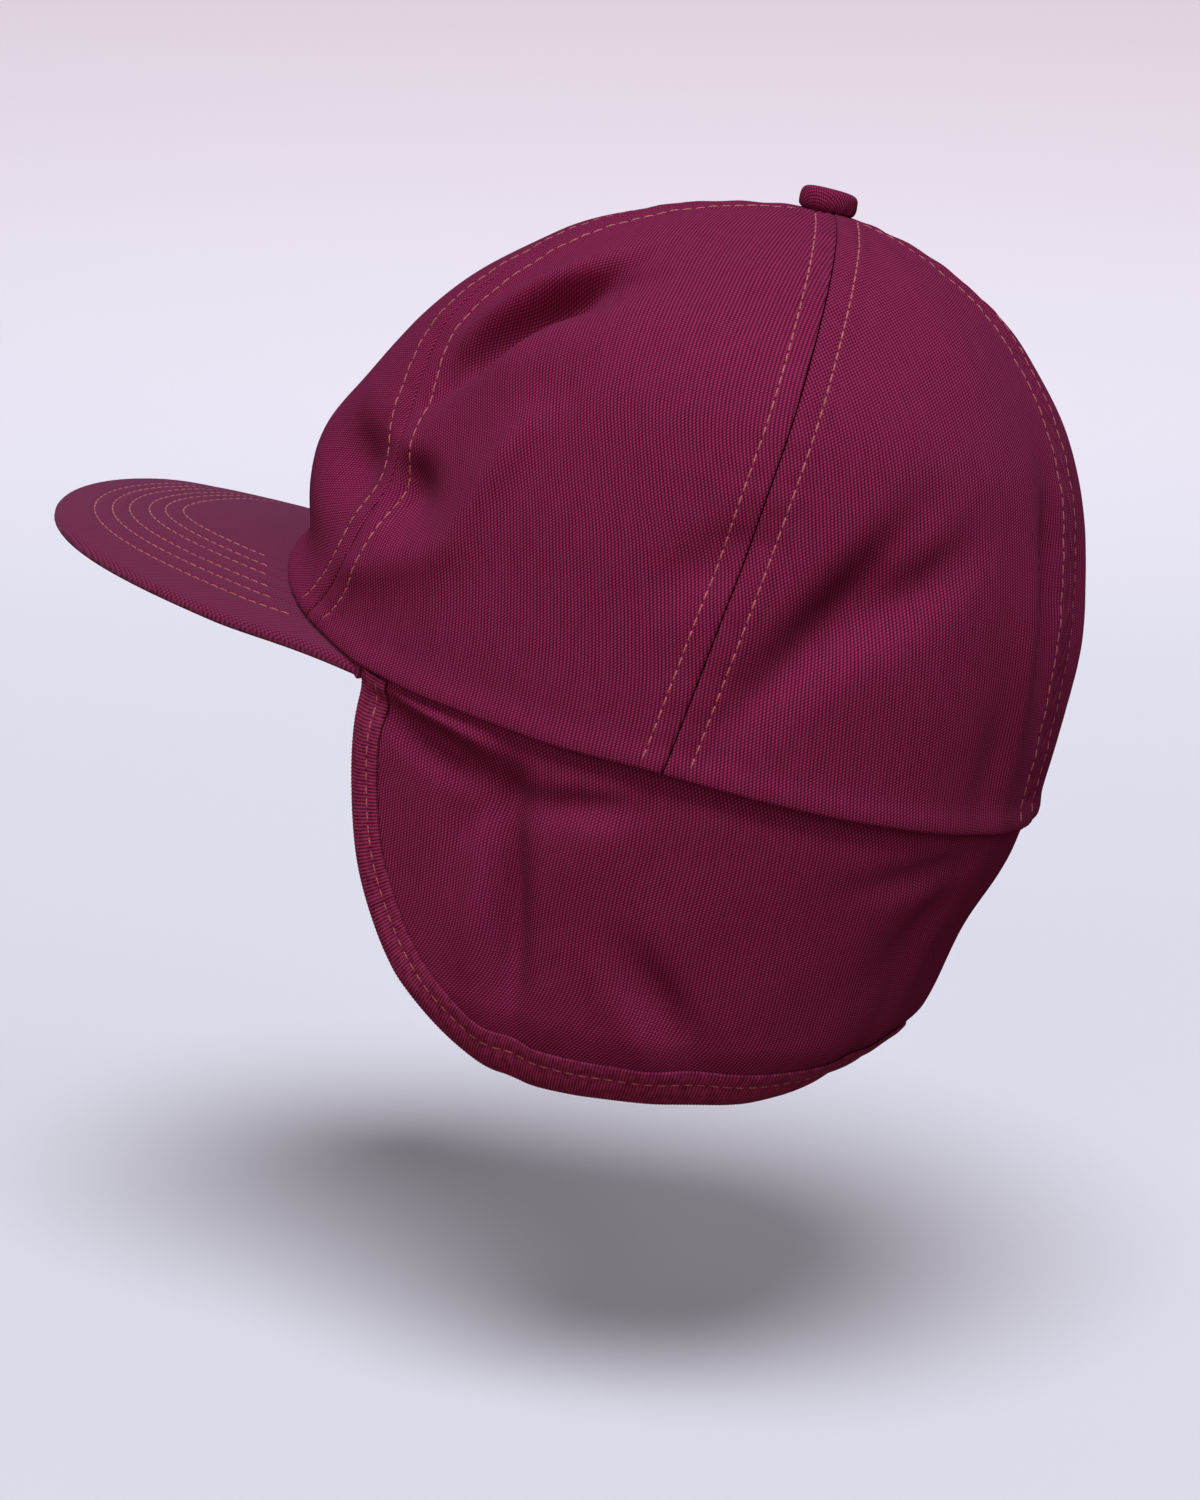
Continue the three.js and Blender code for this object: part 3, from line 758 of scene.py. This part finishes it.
def covered_button():
    """Profile round the crown's axis, with gathers that fade out towards the top."""
    bend = np.linspace(0, 1, len(BUTTON_PROFILE["radius"]))
    fine = np.linspace(0, 1, BUTTON_ROWS)
    radius = smooth_curve(bend, BUTTON_PROFILE["radius"])(fine) * BUTTON_RADIUS
    height = smooth_curve(bend, BUTTON_PROFILE["height"])(fine) * BUTTON_HEIGHT
    turn = np.linspace(0, 2 * np.pi, BUTTON_COLUMNS, endpoint=False)[:, None]
    gather = np.cos(GATHERS * turn + 3 * np.sin(2 * turn)) * GATHER_DEPTH
    gather = gather * (1 - smoothstep(height / BUTTON_HEIGHT, *GATHER_FADE))
    x, y = (radius + gather) * np.cos(turn), (radius + gather) * np.sin(turn)
    length = np.concatenate([[0], np.cumsum(np.hypot(np.diff(radius), np.diff(height)))])
    top = length[-1] - length
    uv = np.stack([top * np.cos(turn), top * np.sin(turn)], -1).reshape(-1, 2)
    middle = np.array([0, CROWN_LEAN - BUTTON_AHEAD, CROWN_HEIGHT + GAP / 2])
    points = np.stack(np.broadcast_arrays(x, y, height + 0 * turn), -1) + middle
    index = np.arange(BUTTON_COLUMNS * BUTTON_ROWS).reshape(BUTTON_COLUMNS, BUTTON_ROWS)
    turned = np.roll(index, -1, axis=0)
    sides = quads(index[:, :-1], turned[:, :-1], turned[:, 1:], index[:, 1:])
    faces = [sides, index[::-1, 0][None], index[:, -1][None]]
    mesh_piece("covered_button", points.reshape(-1, 3), faces, uv, twill, ["top_button"])


covered_button()

# %% [markdown]
# ## Peak
# A stiff board is wrapped in twill and stitched through in six rows that follow its front edge. A flat
# plate bent by a modifier would lose the rows' even distances, so the plan is worked out: half of a
# rounded square that is drawn in to the rim's corners. Rows of the grid run from the edge in under
# the crown, above and below. Each row of stitches pulls a groove into the cloth.

# %% Plan of the peak
PEAK_REACH = 72.2  # mm
PEAK_HALF_WIDTH = 79.4
PEAK_SQUARENESS = 2.95
PEAK_TUCK = 4.5
CORNER_TAPER = (0.88, 1)  # shares of the half width over which the edge is drawn in
peak_front = section_point(0.0, 0.0)[1] - PEAK_REACH


def peak_edge(side):
    """Plan of the front edge for side from -1 to 1: a rounded square, drawn in at the corners."""
    turn = side * np.pi / 2
    power = 2 / PEAK_SQUARENESS
    taper = (PEAK_HALF_WIDTH - peak_corner[0]) * smoothstep(np.abs(side), *CORNER_TAPER)
    x = PEAK_HALF_WIDTH * np.sign(side) * np.abs(np.sin(turn)) ** power - np.sign(side) * taper
    y = peak_corner[1] + (peak_front - peak_corner[1]) * np.abs(np.cos(turn)) ** power
    return np.stack([x, y], -1)


def peak_inner(side):
    """Plan of the inner edge: the rim, drawn in under the crown, less towards the corners."""
    rim = section_point(side * PEAK_CORNER, 0 * side)[..., :2]
    tuck = PEAK_TUCK * (1 - 0.7 * side ** 4)
    return rim * (1 - tuck / np.linalg.norm(rim, axis=-1))[..., None]


fine_edge = peak_edge(np.sin(np.linspace(-1, 1, 1201) * np.pi / 2))


def edge_distance(x, y):
    """Distance in plan from the peak's front edge, to the nearest of many points along it."""
    gap = np.hypot(x.reshape(-1, 1) - fine_edge[:, 0], y.reshape(-1, 1) - fine_edge[:, 1])
    return gap.min(axis=1).reshape(x.shape)


print(f"peak edge {steps(fine_edge[:, None], 0)[-1, 0]:.0f} mm long")

# %% Stitched peak
PEAK_THICKNESS = 3.2
PEAK_ROWS = [10.1, 14.8, 19.3, 24.5, 28.8, 33.6]  # mm of each row of stitches from the edge
PEAK_COLUMNS = 260
PEAK_DEPTH = 76  # mm from edge to inner edge, to turn the first rows' lengths into shares
EDGE_ROWS = np.array([0.02, 0.1, 0.25, 0.5, 0.8, 1.2, 1.7])  # mm
FACE_ROWS = 92
FACE_START = 2.4  # mm from the edge
EDGE_ROUND = 1.8  # mm over which the edge is half round
CORNER_TAIL = 1.2  # mm by which the corners run on to the binding
CORNER_SPAN = (0.95, 1)  # shares of the half width over which they do so
CORNER_STOP = 0.999  # share of the half width where the grid ends, just short of its point
PEAK_GRAIN = 35
PEAK_GROOVE = {"depth": 0.4, "width": 0.7}
PEAK_PUFF = {"height": 0.12, "start": (7, 10), "end": (33, 37)}  # mm from the edge


def peak_relief(distance):
    """Grooves at the rows of stitches, with the cloth puffed a little between them."""
    grooves = sum(np.exp(-((distance - row) / PEAK_GROOVE["width"]) ** 2) for row in PEAK_ROWS)
    puff = smoothstep(distance, *PEAK_PUFF["start"]) * (1 - smoothstep(distance, *PEAK_PUFF["end"]))
    return PEAK_PUFF["height"] * puff - PEAK_GROOVE["depth"] * grooves


def stitched_peak():
    """Upper and lower faces over one plan, joined by a half-round edge."""
    side = np.sin(np.linspace(-1, 1, PEAK_COLUMNS) * np.pi / 2 * CORNER_STOP)
    inward = np.concatenate([EDGE_ROWS / PEAK_DEPTH, np.linspace(FACE_START / PEAK_DEPTH, 1, FACE_ROWS)])
    edge, inner = peak_edge(side), peak_inner(side)
    plan = edge[:, None] + (inner - edge)[:, None] * inward[None, :, None]
    plan[..., 1] += CORNER_TAIL * smoothstep(np.abs(side), *CORNER_SPAN)[:, None]
    x, y = plan[..., 0], plan[..., 1]
    distance = edge_distance(x, y)
    round_off = 1 - np.clip(distance / EDGE_ROUND, 0.01, 1)
    half = PEAK_THICKNESS / 2 * np.sqrt(1 - round_off ** 2)
    middle = peak_top(x, y) - PEAK_THICKNESS / 2
    relief = peak_relief(distance) * smoothstep(distance, 2, 5)
    upper = np.stack([x, y, middle + half + relief], -1)
    lower = np.stack([x, y, middle - half - relief], -1)
    uv = grain_turn(x, y, PEAK_GRAIN)
    wall_piece("stitched_peak", upper, lower, uv, peak_twill, ["peak"])


stitched_peak()

# %% Topstitching of the peak
ROW_CLEAR = {"above": 0.8, "below": -2}  # mm from the rim where a row ends


def peak_row(row, face):
    """Path of one row: the edge moved inwards in plan, kept where it is in front of the crown."""
    along = np.gradient(fine_edge, axis=0)
    along /= np.linalg.norm(along, axis=-1, keepdims=True)
    plan = fine_edge + row * np.stack([-along[:, 1], along[:, 0]], -1)
    azimuth = np.degrees(np.arctan2(plan[:, 0], -plan[:, 1]))
    rim = np.linalg.norm(section_point(azimuth, 0 * azimuth)[:, :2], axis=-1)
    plan = plan[np.linalg.norm(plan, axis=-1) > rim + ROW_CLEAR[face]]
    up = 1.0 if face == "above" else -1.0
    base = peak_top(plan[:, 0], plan[:, 1]) - (0 if face == "above" else PEAK_THICKNESS)
    path = np.column_stack([plan, base + up * peak_relief(np.array([row]))[0]])
    return path, np.broadcast_to([0, 0, up], path.shape)


peak_runs = [stitch_run(*peak_row(row, face), 0.37 * row % 3) for row in PEAK_ROWS for face in ROW_CLEAR]
stitch_piece("peak_topstitching", peak_runs)

# %% [markdown]
# ## Ear flap
# The flap is a band of twill, two layers thick, sewn inside the rim from temple to temple. It hangs
# by its top edge, is drawn in towards the neck, and its bound edge sags and curls in under the jaw.
# Hanging cloth could be simulated, but its folds are known, so they are a table like the crown's.
# The rows of its grid follow the bound edge first and then climb to the seam.

# %% Shape of the flap
FLAP_FRONT = 62  # azimuth
FLAP_TUCK = 7  # mm of the flap inside the crown
FLAP_CLEAR = 1.3 * GAP  # mm between the crown's wall and the flap
PULL_POWER = 1.3  # the flap is drawn in faster towards its edge
EDGE_CURL = 6.5  # mm by which the lower edge turns in under the jaw
CURL_START = 0.8  # share of the drop
CURL_POWER = 1.6
EDGE_SAG = 2.6  # mm by which the bound edge hangs below the plain band
SAG_POWER = 8
RIM_TUCK = 3.2  # mm by which the rim stands out over the flap behind the temples
TUCK_START = (88, 108)  # azimuths over which it begins
TUCK_END = (145, 170)  # and ends
TUCK_DROP = 5  # mm below the rim where it is mostly over
FLAP_SECTIONS = {
    "azimuth": [62, 108, 148, 180, 212],
    "drop": [83.8, 83.8, 76.1, 67.9, 76.1],
    "pull": [5.2, 8.3, 12.4, 19.6, 12.4],
}
flap_drop = smooth_curve(FLAP_SECTIONS["azimuth"], FLAP_SECTIONS["drop"])
flap_pull = smooth_curve(FLAP_SECTIONS["azimuth"], FLAP_SECTIONS["pull"])


def flap_shape(azimuth, drop):
    """Inside the crown above the rim; below it, the rim drawn in by powers of the drop's share."""
    place, hang = from_front(azimuth), np.clip(drop, 0, None)
    tuck = RIM_TUCK * smoothstep(place, *TUCK_START) * (1 - smoothstep(place, *TUCK_END))
    tuck = tuck * np.exp(-np.square(hang / TUCK_DROP))
    up = np.arcsin(np.clip(-drop, 0, None) / (CROWN_HEIGHT - rim_height(azimuth))) * 2 / np.pi
    x, y, z = np.moveaxis(crown_cloth(azimuth, up, CLOTH + FLAP_CLEAR + tuck), -1, 0)
    share = hang / flap_drop(place)
    curl = EDGE_CURL * np.clip((share - CURL_START) / (1 - CURL_START), 0, 1) ** CURL_POWER
    shrink = 1 - (flap_pull(place) * share ** PULL_POWER + curl) / np.hypot(x, y)
    return np.stack([x * shrink, y * shrink, z - hang - EDGE_SAG * share ** SAG_POWER], -1)


print("flap hangs", FLAP_SECTIONS["drop"][0], "mm at the ears and", FLAP_SECTIONS["drop"][3], "mm behind")

# %% Folds of the flap
FLAP_RADIUS = 92  # mm, to turn degrees of the flap into lengths
FLAP_STEP = (0.01, -0.01)  # degrees and mm of drop
FLAP_RIPPLE = 0.25
FLAP_FOLDS = [
    # Crease below the rim at the ear, and the ridge over it.
    (80, -11, 101, 15, 3.2, 5),
    (79, -3.8, 95, 14, 2, -2.8),
    # Upright fold behind the ear, its branch above and the ridge in front of it.
    (98.5, -42, -15, 22, 3.6, 5.6),
    (91.5, -19, 45, 8, 4.5, 2.8),
    (93, -50, -15, 16, 4.5, -2),
    (86, -28, -22, 14, 5, 1.2),
    (110, -26, -10, 18, 9, -1.6),
    (107, -12.4, 78, 10, 2.8, 2.6),
    # Leaning fold low down at the side.
    (123, -62, -44, 9, 4, -1.2),
    (126.8, -56, -48, 12, 4, 3),
    # Dips under the rim at the back, and the swell over the neck.
    (159, -11, 70, 10, 3, 2),
    (165, -24, 25, 10, 5, 1.5),
    (167, -13, 90, 18, 8, -1.2),
    (180, -57, 90, 26, 11, -3.4),
]


def flap_fold_depth(azimuth, drop):
    """Depth of the flap's folds, which fade out under the rim."""
    return fold_depth(FLAP_FOLDS, azimuth, -drop, FLAP_RADIUS) * smoothstep(drop, -1, 3)


def flap_cloth(azimuth, drop, inset):
    """The flap's shape, moved in along its normal by its folds and a faint ripple."""
    depth = flap_fold_depth(azimuth, drop)
    ripple = FLAP_RIPPLE * np.sin(azimuth / 2.9 + drop / 17) * np.sin(drop / 9 - azimuth / 11)
    ripple = ripple * smoothstep(drop, 4, 20)
    normal = outward(flap_shape, azimuth, drop, *FLAP_STEP)
    return flap_shape(azimuth, drop) - normal * (inset + depth + ripple)[..., None]


print(len(FLAP_FOLDS), "folds in the flap")

# %% Bound edge of the flap
FLAP_FULL = 113  # azimuth where the front corner has reached the full drop
FLAP_CORNER = 2.25


def flap_outline():
    """The bound edge, flat: a rounded corner in front, the lower edge, and the same mirrored."""
    turn = np.radians(np.linspace(0, 90, 400))
    ahead = np.clip(np.cos(turn), 0, 1) ** (2 / FLAP_CORNER)
    azimuth = FLAP_FULL - (FLAP_FULL - FLAP_FRONT) * ahead
    drop = flap_drop(azimuth) * np.sin(turn) ** (2 / FLAP_CORNER)
    lower = np.linspace(FLAP_FULL, 180, 300)[1:]
    azimuth, drop = np.append(azimuth, lower), np.append(drop, flap_drop(lower))
    azimuth, drop = np.append(azimuth, 360 - azimuth[-2::-1]), np.append(drop, drop[-2::-1])
    return np.stack([np.radians(azimuth - FLAP_FRONT) * FLAP_RADIUS, -drop], -1)


outline = flap_outline()
outline_share = steps(outline[:, None], 0)[:, 0]
edge_length = outline_share[-1]
outline_share = outline_share / edge_length


def band_place(share, distance):
    """Azimuth and drop of a place a share of the way along the bound edge and some way in from it."""
    x, y = (np.interp(share, outline_share, outline[:, axis]) for axis in (0, 1))
    slope = np.gradient(outline, outline_share, axis=0)
    slope /= np.linalg.norm(slope, axis=-1, keepdims=True)
    along, climb = (np.interp(share, outline_share, slope[:, axis]) for axis in (0, 1))
    return FLAP_FRONT + np.degrees((x - climb * distance) / FLAP_RADIUS), -y - along * distance


print(f"bound edge {edge_length:.0f} mm long")

# %% Cloth lengths of the flap
LENGTH_COLUMNS = 500
LENGTH_ROWS = 60


def cloth_length(azimuth, drop):
    """Length round the flap from its middle, over its folds, read between the rows of a fine grid."""
    columns = np.linspace(FLAP_FRONT, 360 - FLAP_FRONT, LENGTH_COLUMNS)
    rows = np.linspace(-FLAP_TUCK, drop.max(), LENGTH_ROWS)
    around, down = np.meshgrid(columns, rows, indexing="ij")
    grid = steps(flap_cloth(around, down, np.zeros_like(down)), 0)
    grid = grid - grid[LENGTH_COLUMNS // 2]
    across = (azimuth - columns[0]) / (columns[1] - columns[0])
    down = (drop - rows[0]) / (rows[1] - rows[0])
    i = np.clip(across.astype(int), 0, LENGTH_COLUMNS - 2)
    j = np.clip(down.astype(int), 0, LENGTH_ROWS - 2)
    across, down = across - i, down - j
    left = grid[i, j] * (1 - down) + grid[i, j + 1] * down
    right = grid[i + 1, j] * (1 - down) + grid[i + 1, j + 1] * down
    return left * (1 - across) + right * across


# %% Ear flap
FLAP_THICKNESS = 2  # mm
FLAP_COLUMNS = 340
TAPE_WIDTH = 8.5
TAPE_ROWS = 10  # rows of the flap under the tape
FLAP_ROWS = 70  # rows from the tape up to the seam
FLAP_GRAIN = 13
FLAP_SHADE_FADE = (10, 24)  # mm of drop over which the painted crease shade sets in


def ear_flap():
    """The flap's wall, from its bound edge up to its sewn edge inside the crown."""
    share = np.linspace(0, 1, FLAP_COLUMNS)[:, None]
    leg = np.concatenate([np.linspace(0, TAPE_WIDTH, TAPE_ROWS), np.full(FLAP_ROWS, TAPE_WIDTH)])
    climb = np.concatenate([np.zeros(TAPE_ROWS), np.linspace(0, 1, FLAP_ROWS + 1)[1:]])
    azimuth, drop = band_place(share + 0 * leg, leg)
    sewn = FLAP_FRONT + np.degrees(TAPE_WIDTH / FLAP_RADIUS)
    azimuth = azimuth + (sewn + (360 - 2 * sewn) * share - azimuth) * climb
    drop = drop + (-FLAP_TUCK - drop) * climb
    outer = flap_cloth(azimuth, drop, np.zeros_like(drop))
    inner = flap_cloth(azimuth, drop, np.full_like(drop, FLAP_THICKNESS))
    round_rim = np.linspace(FLAP_FRONT, 360 - FLAP_FRONT, 800)
    rim_length = steps(crown_shape(round_rim, 0 * round_rim)[:, None], 0)[-1, 0]
    uv = grain_turn(cloth_length(azimuth, drop), -drop, FLAP_GRAIN)
    # Painted shade: the flap's colour is darkened where its cloth turns under a fold.
    below = flap_fold_depth(azimuth, drop + SHADE_REACH)
    painted_crease_shade = crease_shade_share(flap_fold_depth(azimuth, drop), below) * smoothstep(drop, *FLAP_SHADE_FADE)
    piece = wall_piece("twill_ear_flap", outer, inner, uv, twill, ["ear_flap"], painted_crease_shade)
    return piece, (rim_length * MM, (drop.max() + FLAP_TUCK) * MM), surface_area(outer) * MM * MM


flap_piece, flap_flat, flap_area = ear_flap()
print(f"flap cut {flap_flat[0] * 1000:.0f} by {flap_flat[1] * 1000:.0f} mm")

# %% [markdown]
# ## Grosgrain binding
# Grosgrain is a narrow ribbon with thick ribs across it. It is folded over the flap's edge and sewn
# through by one row of stitches. A bump could draw the ribs, but they are large enough to be seen in
# the outline, so they are modelled: the section is carried along the edge in steps of a quarter rib.

# %% Grosgrain ribbon
TAPE_RIB = 0.9  # mm
TAPE_WARP = 0.45  # mm between the fine threads that run along the ribbon
RIB_CONTRAST = 0.34
WARP_CONTRAST = 0.1
WARP_BUMP = 0.00003  # metres


def grosgrain_ribbon(name, gap, thread):
    """Ribbed ribbon: a cosine for the ribs, a finer one for the warp, and noise for wear."""
    material, tree, shader = new_material(name, {
        "Roughness": 0.6,
        "Specular IOR Level": 0.05,
        "Sheen Weight": 0.04,
        "Sheen Tint": linear("#e3d3ea"),
    })
    place = add_node(tree, "ShaderNodeUVMap", uv_map="cloth").outputs["UV"]
    rib = cosine_wave(tree, place, 1 / TAPE_RIB, 0)
    warp = cosine_wave(tree, place, 0, 1 / TAPE_WARP)
    inputs = {"Vector": place, "Scale": 0.5, "Detail": 2}
    tone = add_node(tree, "ShaderNodeTexNoise", inputs).outputs["Fac"]
    for wave, contrast in [(rib, RIB_CONTRAST), (warp, WARP_CONTRAST)]:
        inputs = {0: wave, 1: contrast, 2: tone}
        tone = add_node(tree, "ShaderNodeMath", inputs, operation="MULTIPLY_ADD").outputs[0]
    inputs = {"Factor": tone, "A": linear(gap), "B": linear(thread)}
    colour = add_node(tree, "ShaderNodeMix", inputs, data_type="RGBA")
    tree.links.new(colour.outputs["Result"], shader.inputs["Base Color"])
    bump = add_node(tree, "ShaderNodeBump", {"Height": warp, "Strength": 0.5, "Distance": WARP_BUMP})
    tree.links.new(bump.outputs[0], shader.inputs["Normal"])
    return material


# Ribbed polyester: a slight sheen on each rib, so the eye sees a row of fine bright lines.
grosgrain = grosgrain_ribbon("grosgrain_ribbon_burgundy", gap="#45041f", thread="#963459")
print("ribbon ribs", TAPE_RIB, "mm apart")

# %% Section of the binding
TAPE = 1.0  # mm thick
TAPE_ROW = 5.2  # mm of the stitches from the folded edge
LEG_POINTS = 8
FOLD_TURNS = np.radians(np.linspace(20, 160, 7))
TAPE_PUFF = 0.35
TAPE_DIMPLE = {"depth": 0.35, "width": 0.7}  # under the stitches
TAPE_THIN = {"depth": 0.4, "span": (7.9, 8.5)}  # at the free edge


def tape_face(gap):
    """Leg and inset of a face some gap outside the flap: inner leg, half-round fold, outer leg."""
    leg = np.linspace(TAPE_WIDTH, 0.2, LEG_POINTS)
    middle = FLAP_THICKNESS / 2
    legs = np.concatenate([leg, -gap * np.sin(FOLD_TURNS), leg[::-1]])
    fold = middle + (middle + gap) * np.cos(FOLD_TURNS)
    insets = np.concatenate([np.full(LEG_POINTS, FLAP_THICKNESS + gap), fold, np.full(LEG_POINTS, -gap)])
    return legs, insets


def tape_relief(leg):
    """The tape puffs up between its fold and its stitches, and thins at its free edge."""
    puff = TAPE_PUFF * np.sin(np.pi * np.clip(leg / TAPE_ROW, 0, 1))
    dimple = TAPE_DIMPLE["depth"] * np.exp(-((leg - TAPE_ROW) / TAPE_DIMPLE["width"]) ** 2)
    return puff - dimple - TAPE_THIN["depth"] * smoothstep(leg, *TAPE_THIN["span"])


print("binding section of", len(tape_face(GAP)[0]), "points a face")

# %% Binding of the flap
TAPE_START = 0.6  # mm below the rim
RIB_HEIGHT = 0.09
RIB_STEPS = 4


def flap_binding():
    """The tape's section carried along the bound edge, with ribs as a cosine of the length."""
    legs_out, insets_out = tape_face(GAP + TAPE)
    legs_in, insets_in = tape_face(GAP)
    share = np.linspace(0, 1, int(edge_length / TAPE_RIB * RIB_STEPS))[:, None]
    rib = RIB_HEIGHT * np.cos(2 * np.pi * share * edge_length / TAPE_RIB)
    side = np.sign(FLAP_THICKNESS / 2 - insets_out)
    swell = (tape_relief(np.clip(legs_out, 0, None)) + rib) * side
    azimuth, drop = band_place(share + 0 * legs_out, legs_out)
    outer = flap_cloth(azimuth, np.maximum(drop, TAPE_START), insets_out - swell)
    azimuth, drop = band_place(share + 0 * legs_in, legs_in)
    inner = flap_cloth(azimuth, np.maximum(drop, TAPE_START), insets_in + 0 * share)
    wrap = steps(np.column_stack([legs_out, insets_out, 0 * legs_out])[:, None], 0)[:, 0]
    uv = np.stack(np.broadcast_arrays(share * edge_length, wrap), -1)
    return wall_piece("grosgrain_binding", outer, inner, uv, grosgrain, ["flap_binding"])


binding_piece = flap_binding()

# %% Topstitching of the binding
BINDING_SPAN = (0.004, 0.996)  # shares of the bound edge


def binding_row(inside):
    """Path of the stitches through the tape, on its outer or its inner leg."""
    share = np.linspace(*BINDING_SPAN, 1500)
    azimuth, drop = band_place(share, np.full_like(share, TAPE_ROW))
    height = GAP + TAPE + tape_relief(np.array([TAPE_ROW]))[0]
    inset = FLAP_THICKNESS + height if inside else -height
    path = flap_cloth(azimuth, drop, np.full_like(share, inset))
    out = outward(flap_shape, azimuth, drop, *FLAP_STEP)
    return path, -out if inside else out


binding_runs = [stitch_run(*binding_row(inside)) for inside in (False, True)]
binding_stitches = stitch_piece("binding_topstitching", binding_runs)

# %% [markdown]
# ## Studio
# A plain pale floor rises all round into a backdrop, so no edge shows from any side; a flat sheet would
# show its horizon. It neither shades nor tints the cap. The light is four wide soft suns: one high
# above gives the cloth its pale upper faces, and low ones open the shadows from the side, the back
# and the far side. The surrounding light is warm from below and cool from above.

# %% Studio floor
FLOOR = -0.1788  # metres
FLOOR_RADIUS = 3.6
FLOOR_RISE = 1.5
FLOOR_RINGS = 60
FLOOR_SPOKES = 97
BACKDROP_HEIGHT = 0.8  # where the painted shade of the backdrop is full


def floor_paint():
    """Flat pale paint: no gloss, and painted shade that turns it darker and warmer with the height, against
    the brighter light up the backdrop.
    """
    material, tree, shader = new_material("painted_floor_pale", {"Roughness": 0.9})
    place = add_node(tree, "ShaderNodeTexCoord").outputs["Object"]
    height = add_node(tree, "ShaderNodeSeparateXYZ", {0: place}).outputs["Z"]
    inputs = {"Value": height, "From Min": FLOOR, "From Max": BACKDROP_HEIGHT}
    rise = add_node(tree, "ShaderNodeMapRange", inputs).outputs[0]
    # Painted shade: the backdrop is darker and warmer towards its top.
    inputs = {"Factor": rise, "A": linear("#e0dfe5"), "B": linear("#d0c6cb")}
    colour = add_node(tree, "ShaderNodeMix", inputs, data_type="RGBA")
    tree.links.new(colour.outputs["Result"], shader.inputs["Base Color"])
    return material


def studio_floor():
    """A shallow bowl: its height is the fifth power of the distance from the middle."""
    radius = np.linspace(0, 1, FLOOR_RINGS)[:, None] ** 0.7 * FLOOR_RADIUS
    turn = np.linspace(0, 2 * np.pi, FLOOR_SPOKES)
    z = FLOOR + FLOOR_RISE * (radius / FLOOR_RADIUS) ** 5 + 0 * turn
    points = np.stack([radius * np.cos(turn), radius * np.sin(turn), z], -1)
    index = np.arange(FLOOR_RINGS * FLOOR_SPOKES).reshape(FLOOR_RINGS, FLOOR_SPOKES)
    faces = quads(index[:-1, :-1], index[1:, :-1], index[1:, 1:], index[:-1, 1:])
    mesh = bpy.data.meshes.new("studio_floor")
    mesh.from_pydata(points.reshape(-1, 3), [], faces)
    mesh.polygons.foreach_set("use_smooth", np.ones(len(faces), bool))
    mesh.materials.append(floor_paint())
    floor = bpy.data.objects.new("studio_floor", mesh)
    bpy.context.collection.objects.link(floor)
    floor.visible_diffuse = False
    floor.visible_glossy = False
    floor.visible_shadow = False


studio_floor()
print("floor at height", FLOOR, "m")

# %% Soft suns
# Angles and widths are in degrees, and strength is in watts for each square metre.
LIGHT_COLUMNS = ("name", "azimuth", "elevation", "strength", "width", "colour")
LIGHTS = [
    ("sky_light", 112, 63, 2.7, 34, "#f3f5ff"),
    ("side_light", 92, 8, 0.95, 40, "#fff0ec"),
    ("back_light", 158, 26, 0.5, 40, "#f3f5ff"),
    ("far_light", 292, 9, 0.8, 40, "#fff0ec"),
]


def soft_sun(name, azimuth, elevation, strength, width, colour):
    """A wide sun: light from one side of the sky, as soft as its width in degrees."""
    data = bpy.data.lights.new(name, "SUN")
    data.energy = strength
    data.angle = np.radians(width)
    data.color = linear(colour)[:3]
    lamp = bpy.data.objects.new(name, data)
    bpy.context.collection.objects.link(lamp)
    lamp.rotation_euler = (np.radians(90 - elevation), 0, np.radians(azimuth))


for row in LIGHTS:
    soft_sun(**dict(zip(LIGHT_COLUMNS, row)))
print(len(LIGHTS), "soft suns")

# %% Surrounding light
HORIZON = 0.4  # height of the blend on either side of level, for a direction of length one
SURROUND = 0.6  # strength

world = bpy.context.scene.world or bpy.data.worlds.new("studio")
bpy.context.scene.world = world
world.use_nodes = True
sky = world.node_tree
toward = add_node(sky, "ShaderNodeTexCoord").outputs["Generated"]
height = add_node(sky, "ShaderNodeSeparateXYZ", {0: toward}).outputs["Z"]
inputs = {"Value": height, "From Min": -HORIZON, "From Max": HORIZON}
rise = add_node(sky, "ShaderNodeMapRange", inputs).outputs[0]
inputs = {"Factor": rise, "A": linear("#7c2a33"), "B": linear("#84858f")}
tint = add_node(sky, "ShaderNodeMix", inputs, data_type="RGBA")
sky.links.new(tint.outputs["Result"], sky.nodes["Background"].inputs["Color"])
sky.nodes["Background"].inputs["Strength"].default_value = SURROUND
bpy.context.scene.view_settings.view_transform = "Standard"
print("surrounding light at strength", SURROUND)
